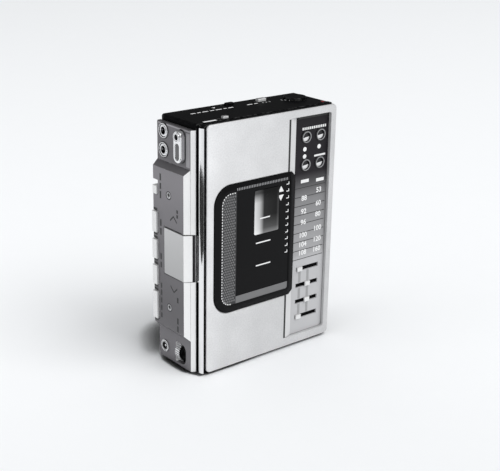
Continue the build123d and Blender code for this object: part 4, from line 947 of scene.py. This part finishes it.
class PLAYER_OT_tuner(bpy.types.Operator):
    """Add the dial lines, figures, dots and bars of the tuner panel and its trimmers' faces"""

    bl_idname = "player.tuner"
    bl_label = "Tuner dial"

    def execute(self, context):
        rise = print_rise(context)
        floor = on_front(TUNER_FLOOR)
        spaces = context.scene.player_marks.dial_lines - 1
        lines = Solid("dial_lines", "door", "window_black", "black_print")
        for step in range(spaces + 1):
            height = DIAL_TOP - step * (DIAL_TOP - DIAL_FOOT) / spaces
            lines.bar(DIAL_LEFT, height - DIAL_LINE_HALF, DIAL_RIGHT, height + DIAL_LINE_HALF,
                      floor, rise)
        lines.finish_piece()
        self.figures(floor, rise)
        shade = Solid("recess_shade", "door", "window_black", "black_print")
        shade.bar(*RECESS_SHADE, floor, rise)
        shade.finish_piece()
        for number in range(1, 5):
            self.moon(f"preset_trimmer_{number}", rise)
        return {"FINISHED"}

    def figures(self, floor, rise):
        """The white figures, dots, bars and dashes."""
        white = Solid("dial_figures", "door", "tuner_print", "white_print")
        for column, figures in ((LEFT_COLUMN, LEFT_FIGURES), (RIGHT_COLUMN, RIGHT_FIGURES)):
            for words, height in figures:
                white.text(words, column, height, FIGURE_H, raised(floor, rise), rise)
        for u, v in DOTS:
            white.disc(u, v, DOT_R, floor, rise)
        start, end, height = PRESET_BAR
        white.bar(start, height - PRESET_BAR_HALF, end, height + PRESET_BAR_HALF, floor, rise)
        for u, v in BAND_BARS:
            white.tile(u, v, BAND_HALF, floor, rise)
        start, end, height = HEADING
        for step in range(HEADING_DASHES):
            u = start + (end - start) * step / (HEADING_DASHES - 1)
            white.tile(u, height, HEADING_HALF, floor, rise)
        white.finish_piece()

    def moon(self, trimmer, rise):
        """A painted highlight on the pale lower part of a trimmer's face, and the bright ring round
        it.
        """
        low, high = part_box(trimmer)
        u, v = ((in_plate(low, axis) + in_plate(high, axis)) / 2 for axis in (0, 2))
        radius = MOON_SHARE * (in_plate(high, 0) - in_plate(low, 0)) / 2
        # Painted highlight: the lower part of the face is pale as if lit.
        moon = Solid(f"{trimmer}_moon", trimmer, "steel", "moon_painted_highlight")
        moon.prism(arc_points(u, v, radius, MOON_START, MOON_SWEEP, MOON_STEPS),
                   on_front(in_plate(low, 1)), rise)
        moon.finish_piece()
        bezel_low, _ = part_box("trimmer_bezels")
        shine = Solid(f"{trimmer}_shine", "door", "steel", "ring_grey")
        shine.ring(u, v, *SHINE, on_front(in_plate(bezel_low, 1)), rise)
        shine.finish_piece()


# Tuner recess: painted shade along its left edge, and the guides of the sliders
EDGE_LINE = (46.75, 47.85)
EDGE_RUNS = ((4.6, 27.2), (88.7, 113.3))
GUIDE_COLUMNS = (57.6, 62.9)
GUIDE_HALF = 0.75
GUIDE_RUNS = ((14.2, 19.5), (22.3, 27.9), (30.7, 36.4))


class PLAYER_OT_recess(bpy.types.Operator):
    """Add the painted shade along the left of the tuner recess and the guides of its sliders"""

    bl_idname = "player.recess"
    bl_label = "Recess line"

    def execute(self, context):
        rise = print_rise(context)
        # Painted shade: a dark line along the recess's left edge.
        line = Solid("recess_edge_shade", "door", "window_black", "black_print")
        left, right = EDGE_LINE
        for low, high in EDGE_RUNS:
            line.bar(left, low, right, high, on_front(0.0), rise)
        line.finish_piece()
        guides = Solid("slider_guides", "door", "grey_satin", "guide_grey")
        for u in GUIDE_COLUMNS:
            for low, high in GUIDE_RUNS:
                guides.bar(u - GUIDE_HALF, low, u + GUIDE_HALF, high, on_front(TUNER_FLOOR), rise)
        guides.finish_piece()
        return {"FINISHED"}


# Left side: screw rings of painted shade, painted shadow in the gaps round the keys, and the arrows
# beside the play key
BLOCK_SCREW_Y = 19.4
BLOCK_SCREW_INSET = (14.2, 13.3)
SCREW_RING = (1.5, 1.98)
SCREW_PIT_R = 0.85
SCREW_PIT_UP = 0.25
KEY_SHADE = 1.5
KEY_CLEAR = 0.3
KEY_REACH = 3.0
PLAY_LINE = 0.35
PLAY_LINE_FRONT = 9.6
CHEVRONS = ((15.8, 72.2, 1), (15.8, 38.2, -1))
CHEVRON_HALF = 2.6
CHEVRON_HEIGHTS = (1.7, 0.8, -1.6, -0.7)
# Columns of dashes: place, width, and the foot and length of each dash
SIDE_DASHES = (
    (25.7, 1.1, ((88.0, 3.2), (84.0, 2.8), (79.6, 3.4), (66.4, 3.2), (62.2, 3.2), (50.2, 3.0),
                 (46.2, 2.8), (36.0, 2.6), (32.4, 2.8), (28.6, 2.6), (24.8, 2.6), (21.2, 2.4))),
    (12.9, 1.2, ((75.6, 1.6), (73.4, 1.6), (32.6, 2.6), (22.0, 3.0), (18.0, 3.0))))


class PLAYER_OT_side(bpy.types.Operator):
    """Add the arrows and dashes of the side, the dark rings of painted shade round its screws and
    the painted shadow in the gaps round its keys
    """

    bl_idname = "player.side"
    bl_label = "Side marks"

    def execute(self, context):
        rise = print_rise(context)
        face = on_left(in_plate(BLOCK_LOW, 0))
        self.arrows(face, rise)
        # Painted shade: a dark ring round each screw head and a dark pit set a little up in it.
        screws = Solid("block_screw_shade", "chassis", "window_black", "black_print")
        head_inset, foot_inset = BLOCK_SCREW_INSET
        for v in (in_plate(BLOCK_HIGH, 2) - head_inset, in_plate(BLOCK_LOW, 2) + foot_inset):
            screws.ring(BLOCK_SCREW_Y, v, *SCREW_RING, face, rise)
            screws.disc(BLOCK_SCREW_Y, v + SCREW_PIT_UP, SCREW_PIT_R, face, rise)
        screws.finish_piece()
        self.gaps(face, rise)
        return {"FINISHED"}

    def arrows(self, face, rise):
        """Two open arrows and the columns of dashes."""
        arrows = Solid("side_arrows", "chassis", "window_black", "black_print")
        for u, v, way in CHEVRONS:
            for side in (-1, 1):
                places = (u, u, u + CHEVRON_HALF * side, u + CHEVRON_HALF * side)
                arrows.prism([(place, v + height * way)
                              for place, height in zip(places, CHEVRON_HEIGHTS)], face, rise)
        for u, wide, runs in SIDE_DASHES:
            for low, run in runs:
                arrows.bar(u - wide / 2, low, u + wide / 2, low + run, face, rise)
        arrows.finish_piece()

    def gaps(self, face, rise):
        """The dark lines of painted shadow round the play key and at the ends of the function keys.
        """
        gaps = Solid("key_gap_shadows", "chassis", "window_black", "black_print")
        low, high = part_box("play_key")
        rear = in_plate(high, 1) + KEY_CLEAR
        foot, head = in_plate(low, 2) - KEY_CLEAR, in_plate(high, 2) + KEY_CLEAR
        gaps.bar(rear, foot - PLAY_LINE, rear + PLAY_LINE, head + PLAY_LINE, face, rise)
        for v in (foot - PLAY_LINE, head):
            gaps.bar(PLAY_LINE_FRONT, v, rear, v + PLAY_LINE, face, rise)
        back = in_plate(BLOCK_HIGH, 1)
        for number in range(1, 5):
            low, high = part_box(f"function_key_{number}")
            for v in (in_plate(low, 2) - KEY_SHADE, in_plate(high, 2) + KEY_CLEAR):
                gaps.bar(back - KEY_REACH, v, back, v + KEY_SHADE - KEY_CLEAR, face, rise)
        gaps.finish_piece()


# Sockets on the left side: middle of each, then the inner and outer radius of its dark ring of
# painted shade in the groove
SOCKET_RINGS = ((26.4, 110.4, 2.62, 3.03), (26.4, 101.7, 2.62, 3.03))
POWER_RING = (26.7, 5.6, 1.35, 1.95)
RING_GROOVE = 0.3
# Contact leaf: place beside the middle, thickness, width and depth
JACK_LEAF = (1.15, 0.35, 0.9, 3.2)
LEAF_SINK = 0.5
# Inlay of the raised oblong, the painted shadow round it and round the sockets, and the pale strips
# of painted highlight on the panel
PILL_Y = 13.0
PILL_LOW = 99.95
PILL_HIGH = 107.55
PILL_R = 1.45
PILL_SINK = 0.4
SHADOW_BAND = 0.45
STRIPS = ((6.9, 97.4, 9.6, 112.6), (6.9, 113.2, 30.6, 113.8))


class PLAYER_OT_sockets(bpy.types.Operator):
    """Add the rings of painted shade, leaves and inlay of the sockets, the painted shadow round
    them and the pale strips of painted highlight beside them
    """

    bl_idname = "player.sockets"
    bl_label = "Sockets"

    def execute(self, context):
        rise = print_rise(context)
        jack_low, jack_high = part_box("headphone_jacks")
        power_low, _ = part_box("dc_jack")
        face = in_plate(jack_low, 0)
        # Painted shade: dark rings in the sockets' grooves and on the power socket.
        grooves = Solid("socket_groove_shade", "chassis", "window_black", "black_print")
        for ring in SOCKET_RINGS:
            grooves.ring(*ring, on_left(face + RING_GROOVE), rise)
        grooves.ring(*POWER_RING, on_left(in_plate(power_low, 0)), rise)
        grooves.finish_piece()
        leaves = Solid("jack_leaves", "chassis", "steel")
        off, thick, wide, deep = JACK_LEAF
        for u, v, _, _ in SOCKET_RINGS:
            leaves.bar(u + off, v - wide / 2, u + off + thick, v + wide / 2,
                       on_left(face + LEAF_SINK + deep), deep)
        leaves.finish_piece()
        self.panel(in_plate(jack_high, 1), rise)
        return {"FINISHED"}

    def panel(self, jack_rear, rise):
        """The inlay of the raised oblong, the painted shadow round it and the sockets, and the pale
        strips of painted highlight.
        """
        low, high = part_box("remote_turret")
        inlay = Solid("turret_inlay", "chassis", "window_black", "grey_print")
        inlay.prism(pill_points(PILL_Y, PILL_LOW, PILL_HIGH, PILL_R),
                    on_left(in_plate(low, 0) + PILL_SINK), rise)
        inlay.finish_piece()
        panel = on_left(in_plate(high, 0))
        # Painted shadow round the foot of the raised oblong and of each socket.
        base_shadows = Solid("socket_base_shadows", "chassis", "window_black", "black_print")
        base_shadows.prism(pill_points(PILL_Y, in_plate(low, 2) - SHADOW_BAND, in_plate(high, 2) + SHADOW_BAND,
                                in_plate(high, 1) - PILL_Y + SHADOW_BAND), panel, rise)
        for u, v, _, _ in SOCKET_RINGS:
            base_shadows.ring(u, v, jack_rear - u, jack_rear - u + SHADOW_BAND, panel, rise)
        base_shadows.finish_piece()
        # Painted highlight: pale strips on the panel beside the sockets.
        strip = Solid("jack_panel_strip", "chassis", "grey_satin", "side_painted_highlight")
        for corners in STRIPS:
            strip.bar(*corners, panel, rise)
        strip.finish_piece()


# Top: a bar, ticks, an arrow, and a row of dashes by start and length
TOP_BAR = (2.9, 9.9, 6.6)
TOP_BAR_HALF = 0.7
TOP_TICKS = ((49.0, 21.6), (51.0, 21.6), (53.0, 21.6), (60.0, 21.0), (61.4, 20.0), (62.4, 18.4))
TOP_TICK_HALF = (0.15, 0.6)
TOP_TRIANGLE = (23.6, 26.1)
TOP_TRIANGLE_SIZE = (0.9, 0.7, 0.8)
TOP_DASHES = ((7.6, 2.6), (11.2, 1.8), (14.0, 3.2), (18.4, 2.2), (21.6, 3.4), (26.2, 1.6),
              (28.8, 2.8), (40.0, 3.0), (44.2, 2.0))
TOP_ROW = 22.2
TOP_DASH_HALF = 0.42


class PLAYER_OT_top(bpy.types.Operator):
    """Add the plain marks beside the controls on the top"""

    bl_idname = "player.top"
    bl_label = "Top marks"

    def execute(self, context):
        rise = print_rise(context)
        top = on_top(in_plate(SHELL_HIGH, 2))
        marks = Solid("top_marks", "chassis", "tuner_print", "white_print")
        start, end, depth = TOP_BAR
        marks.bar(start, depth - TOP_BAR_HALF, end, depth + TOP_BAR_HALF, top, rise)
        for u, v in TOP_TICKS:
            marks.tile(u, v, TOP_TICK_HALF, top, rise)
        for u, run in TOP_DASHES:
            marks.bar(u, TOP_ROW - TOP_DASH_HALF, u + run, TOP_ROW + TOP_DASH_HALF, top, rise)
        marks.prism(arrow_points(*TOP_TRIANGLE, TOP_TRIANGLE_SIZE, -1), top, rise)
        marks.finish_piece()
        return {"FINISHED"}


# Battery lid: middle of its arrow, half its length and half its width
LID_ARROW = (68.0, 26.0)
LID_ARROW_LONG = 2.5
LID_ARROW_WIDE = 1.6


class PLAYER_OT_rear(bpy.types.Operator):
    """Add the arrow of the battery lid"""

    bl_idname = "player.rear"
    bl_label = "Rear marks"

    def execute(self, context):
        arrow = Solid("lid_arrow", "battery_lid", "tuner_print", "white_print")
        u, v = LID_ARROW
        _, lid_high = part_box("battery_lid")
        foot = u - LID_ARROW_LONG
        arrow.prism([(foot, v - LID_ARROW_WIDE), (foot, v + LID_ARROW_WIDE),
                     (u + LID_ARROW_LONG, v)], on_rear(in_plate(lid_high, 1)), print_rise(context))
        arrow.finish_piece()
        return {"FINISHED"}


# Deck: screws with painted shade in their slots and round their heads, arrows with their way, and
# the long rules
DECK_SCREWS = ((24.0, 108.5), (24.0, 9.0), (55.0, 108.5), (55.0, 9.0), (52.0, 58.5))
DECK_SCREW_R = 1.3
DECK_SCREW_T = 0.5
DECK_SCREW_EDGE = 0.3
DECK_SLOT = (0.9, 0.14)
DECK_ARROWS = ((47.0, 64.5, 1), (47.0, 52.5, -1))
DECK_ARROW = (1.5, 1.2, 1.4)
DECK_RULES = (20.0, 56.5)
DECK_RULE_HALF = 0.12
DECK_RULE_LOW = 14.0
DECK_RULE_HIGH = 103.0


class PLAYER_OT_deck(bpy.types.Operator):
    """Add the screws, with painted shade in their slots and round their heads, and the arrows and
    rules of the deck
    """

    bl_idname = "player.deck"
    bl_label = "Deck details"

    def execute(self, context):
        rise = print_rise(context)
        deck_low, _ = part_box("deck_plate")
        face = on_front(in_plate(deck_low, 1))
        head = on_front(in_plate(deck_low, 1) - DECK_SCREW_T)
        screws = Solid("deck_screws", "chassis", "steel")
        # Painted shade: dark crosses in the screw heads and dark rings round them.
        slots = Solid("deck_screw_slot_shade", "chassis", "window_black", "black_print")
        for u, v in DECK_SCREWS:
            screws.disc(u, v, DECK_SCREW_R, face, DECK_SCREW_T)
            slots.tile(u, v, DECK_SLOT, head, rise)
            slots.tile(u, v, DECK_SLOT[::-1], raised(head, rise), rise)
            slots.ring(u, v, DECK_SCREW_R, DECK_SCREW_R + DECK_SCREW_EDGE, face, rise)
        screws.finish_piece()
        slots.finish_piece()
        arrows = Solid("deck_arrows", "chassis", "window_black", "black_print")
        for u, v, way in DECK_ARROWS:
            arrows.prism(arrow_points(u, v, DECK_ARROW, way), face, rise)
        for u in DECK_RULES:
            arrows.bar(u - DECK_RULE_HALF, DECK_RULE_LOW, u + DECK_RULE_HALF, DECK_RULE_HIGH,
                       face, rise)
        arrows.finish_piece()
        return {"FINISHED"}


# Stage. Lamps, in metres: nearer to the camera, across to the right, up, and the lamp's side
AIM = (36, 15, 58)
KEY_LAMP = (1.5, 2.8, 3.8, 3.2)
FILL_LAMP = (0.5, -0.9, 0.45, 0.8)
GROUND_R = 4.0
CARD_R = 0.1
CARD_WIDE = 1.8
CARD_PLACE = (-240.0, 45.0, 0.5)
# Shadow cards: height over the plate's foot, and the outline on the floor
FLAGS = (
    (3.2, ((-4.6, 33.2), (-7.6, 36.4), (-7.6, 40.6), (-3.4, 49.0), (1.6, 57.5), (9.0, 64.0),
           (18.0, 66.5), (56.0, 64.0), (68.0, 56.0), (74.0, 46.0), (75.0, 38.0), (73.0, 33.2))),
    (-0.9, ((-3.6, 4.0), (-6.6, 10.5), (-7.0, 18.6), (-6.6, 26.7), (-3.6, 33.0), (1.0, 33.0),
            (1.0, 4.0))),
    (-0.8, ((-3.0, 2.0), (2.0, 0.6), (17.0, 0.3), (30.0, 0.8), (38.0, 3.0), (30.0, 6.0),
            (2.0, 6.4), (-3.0, 5.0))))


def soft_lamp(name, place, aim, size, power):
    """A square soft lamp that looks at a point."""
    light = bpy.data.lights.new(name, "AREA")
    light.shape = "RECTANGLE"
    light.size = light.size_y = size
    light.energy = power
    lamp_object = bpy.data.objects.new(name, light)
    lamp_object.location = place
    lamp_object.rotation_euler = (aim - place).to_track_quat("-Z", "Y").to_euler()
    bpy.context.scene.collection.objects.link(lamp_object)
    return lamp_object


def flat_card(name, points, material):
    """A flat card on a closed outline."""
    data = bpy.data.meshes.new(name)
    data.from_pydata(points, [], [list(range(len(points)))])
    data.materials.append(material)
    card = bpy.data.objects.new(name, data)
    bpy.context.scene.collection.objects.link(card)
    return card


def circle(radius, sides=64):
    """Places round the origin on the floor."""
    turns = [math.tau * side / sides for side in range(sides)]
    return [(radius * math.cos(turn), radius * math.sin(turn), 0.0) for turn in turns]


class PLAYER_OT_stage(bpy.types.Operator):
    """Set the camera, the lamps, the cards and the pale ground"""

    bl_idname = "player.stage"
    bl_label = "Stage"

    def execute(self, context):
        stage = context.scene.player_stage
        self.camera(context.scene, stage)
        self.ground(stage)
        self.cards()
        self.surroundings(context.scene, stage)
        self.lamps(stage)
        return {"FINISHED"}

    def lamps(self, stage):
        """A large lamp high at the right and a small one low at the left."""
        aim = plate_point(*AIM)
        turn = stage.azimuth
        toward = Vector((-math.sin(turn), -math.cos(turn), 0))
        across = Vector((math.cos(turn), -math.sin(turn), 0))
        for name, (near, aside, up, size), power in (
                ("key_lamp", KEY_LAMP, stage.key_power),
                ("fill_lamp", FILL_LAMP, stage.fill_power)):
            place = aim + near * toward + aside * across + Vector((0, 0, up))
            soft_lamp(name, place, aim, size, power)

    def cards(self):
        """A dark card that only mirrors show, and low cards that deepen the player's shadow."""
        black = Finish("card_black", (0.01, 0.01, 0.01), 0.9, grain=900.0, bump=0.01).material
        card = flat_card("dark_card", circle(CARD_R), black)
        card.location = plate_point(*CARD_PLACE)
        card.scale = (1.0, CARD_WIDE, 1.0)
        card.visible_camera = False
        card.visible_diffuse = False
        card.visible_shadow = False
        for height, outline in FLAGS:
            flag = flat_card("shadow_flag", [plate_point(x, y, height) for x, y in outline], black)
            flag.visible_camera = False
            flag.visible_glossy = False

    def camera(self, scene, stage):
        """The camera where the photograph was taken from."""
        data = bpy.data.cameras.new("photo_camera")
        data.lens = stage.lens
        data.sensor_width = 36
        data.sensor_fit = "HORIZONTAL"
        data.dof.use_dof = False
        camera = bpy.data.objects.new("photo_camera", data)
        turn, tilt, roll = stage.azimuth, stage.elevation, stage.roll
        look = Vector((math.cos(tilt) * math.sin(turn), math.cos(tilt) * math.cos(turn),
                       -math.sin(tilt)))
        level = Vector((math.cos(turn), -math.sin(turn), 0))
        upright = level.cross(look)
        right = math.cos(roll) * level + math.sin(roll) * upright
        up = math.cos(roll) * upright - math.sin(roll) * level
        place = plate_point(0, 0, 0) + Vector(stage.camera_place)
        axes = Matrix((right, up, -look)).transposed().to_4x4()
        camera.matrix_world = Matrix.Translation(place) @ axes
        scene.collection.objects.link(camera)
        scene.camera = camera
        scene.view_settings.view_transform = "Standard"

    def ground(self, stage):
        """A round floor that reaches past the picture's edges."""
        Paper.way = (-math.sin(stage.azimuth), -math.cos(stage.azimuth), 0.0)
        paper = Paper("ground_paper_painted_shade", stage.ground, 0.8, grain=900.0, bump=0.01, edge=0.0,
                      mottle=0.01, specular=0.1)
        flat_card("ground_floor", circle(GROUND_R), paper.material)

    def surroundings(self, scene, stage):
        """Pale light from all round, dimmer where a mirror shows it."""
        world = bpy.data.worlds.new("studio")
        world.use_nodes = True
        nodes = Nodes(world.node_tree)
        back = world.node_tree.nodes["Background"]
        nodes.put(back, "Color", (*stage.sky, 1.0))
        path = nodes.add("ShaderNodeLightPath")
        drop = nodes.math("MULTIPLY", path.outputs["Is Glossy Ray"],
                          stage.mirror_strength - stage.sky_strength)
        nodes.put(back, "Strength", nodes.math("ADD", drop, stage.sky_strength))
        scene.world = world


class PLAYER_PT_panel(bpy.types.Panel):
    """The player's operators and their settings"""

    bl_idname = "PLAYER_PT_panel"
    bl_label = "Cassette player"
    bl_space_type = "VIEW_3D"
    bl_region_type = "UI"
    bl_category = "Player"

    def draw(self, context):
        for operator in OPERATORS:
            self.layout.operator(operator.bl_idname)
        for group in GROUP_CLASSES:
            settings = getattr(context.scene, group)
            for name in settings.__annotations__:
                self.layout.prop(settings, name)


OPERATORS = (PLAYER_OT_finishes, PLAYER_OT_window, PLAYER_OT_tuner, PLAYER_OT_recess,
             PLAYER_OT_side, PLAYER_OT_sockets, PLAYER_OT_top, PLAYER_OT_rear, PLAYER_OT_deck,
             PLAYER_OT_stage)
GROUP_CLASSES = {"player_finishes": PlayerFinishes, "player_marks": PlayerMarks,
                 "player_stage": PlayerStage}


def register():
    for name, group in GROUP_CLASSES.items():
        bpy.utils.register_class(group)
        setattr(bpy.types.Scene, name, PointerProperty(type=group))
    for item in (*OPERATORS, PLAYER_PT_panel):
        bpy.utils.register_class(item)


def unregister():
    for item in (PLAYER_PT_panel, *OPERATORS[::-1]):
        bpy.utils.unregister_class(item)
    for name, group in GROUP_CLASSES.items():
        delattr(bpy.types.Scene, name)
        bpy.utils.unregister_class(group)


def main():
    register()
    bpy.ops.player.finishes()
    bpy.ops.player.window()
    bpy.ops.player.tuner()
    bpy.ops.player.recess()
    bpy.ops.player.side()
    bpy.ops.player.sockets()
    bpy.ops.player.top()
    bpy.ops.player.rear()
    bpy.ops.player.deck()
    bpy.ops.player.stage()


if __name__ == "__main__":
    main()
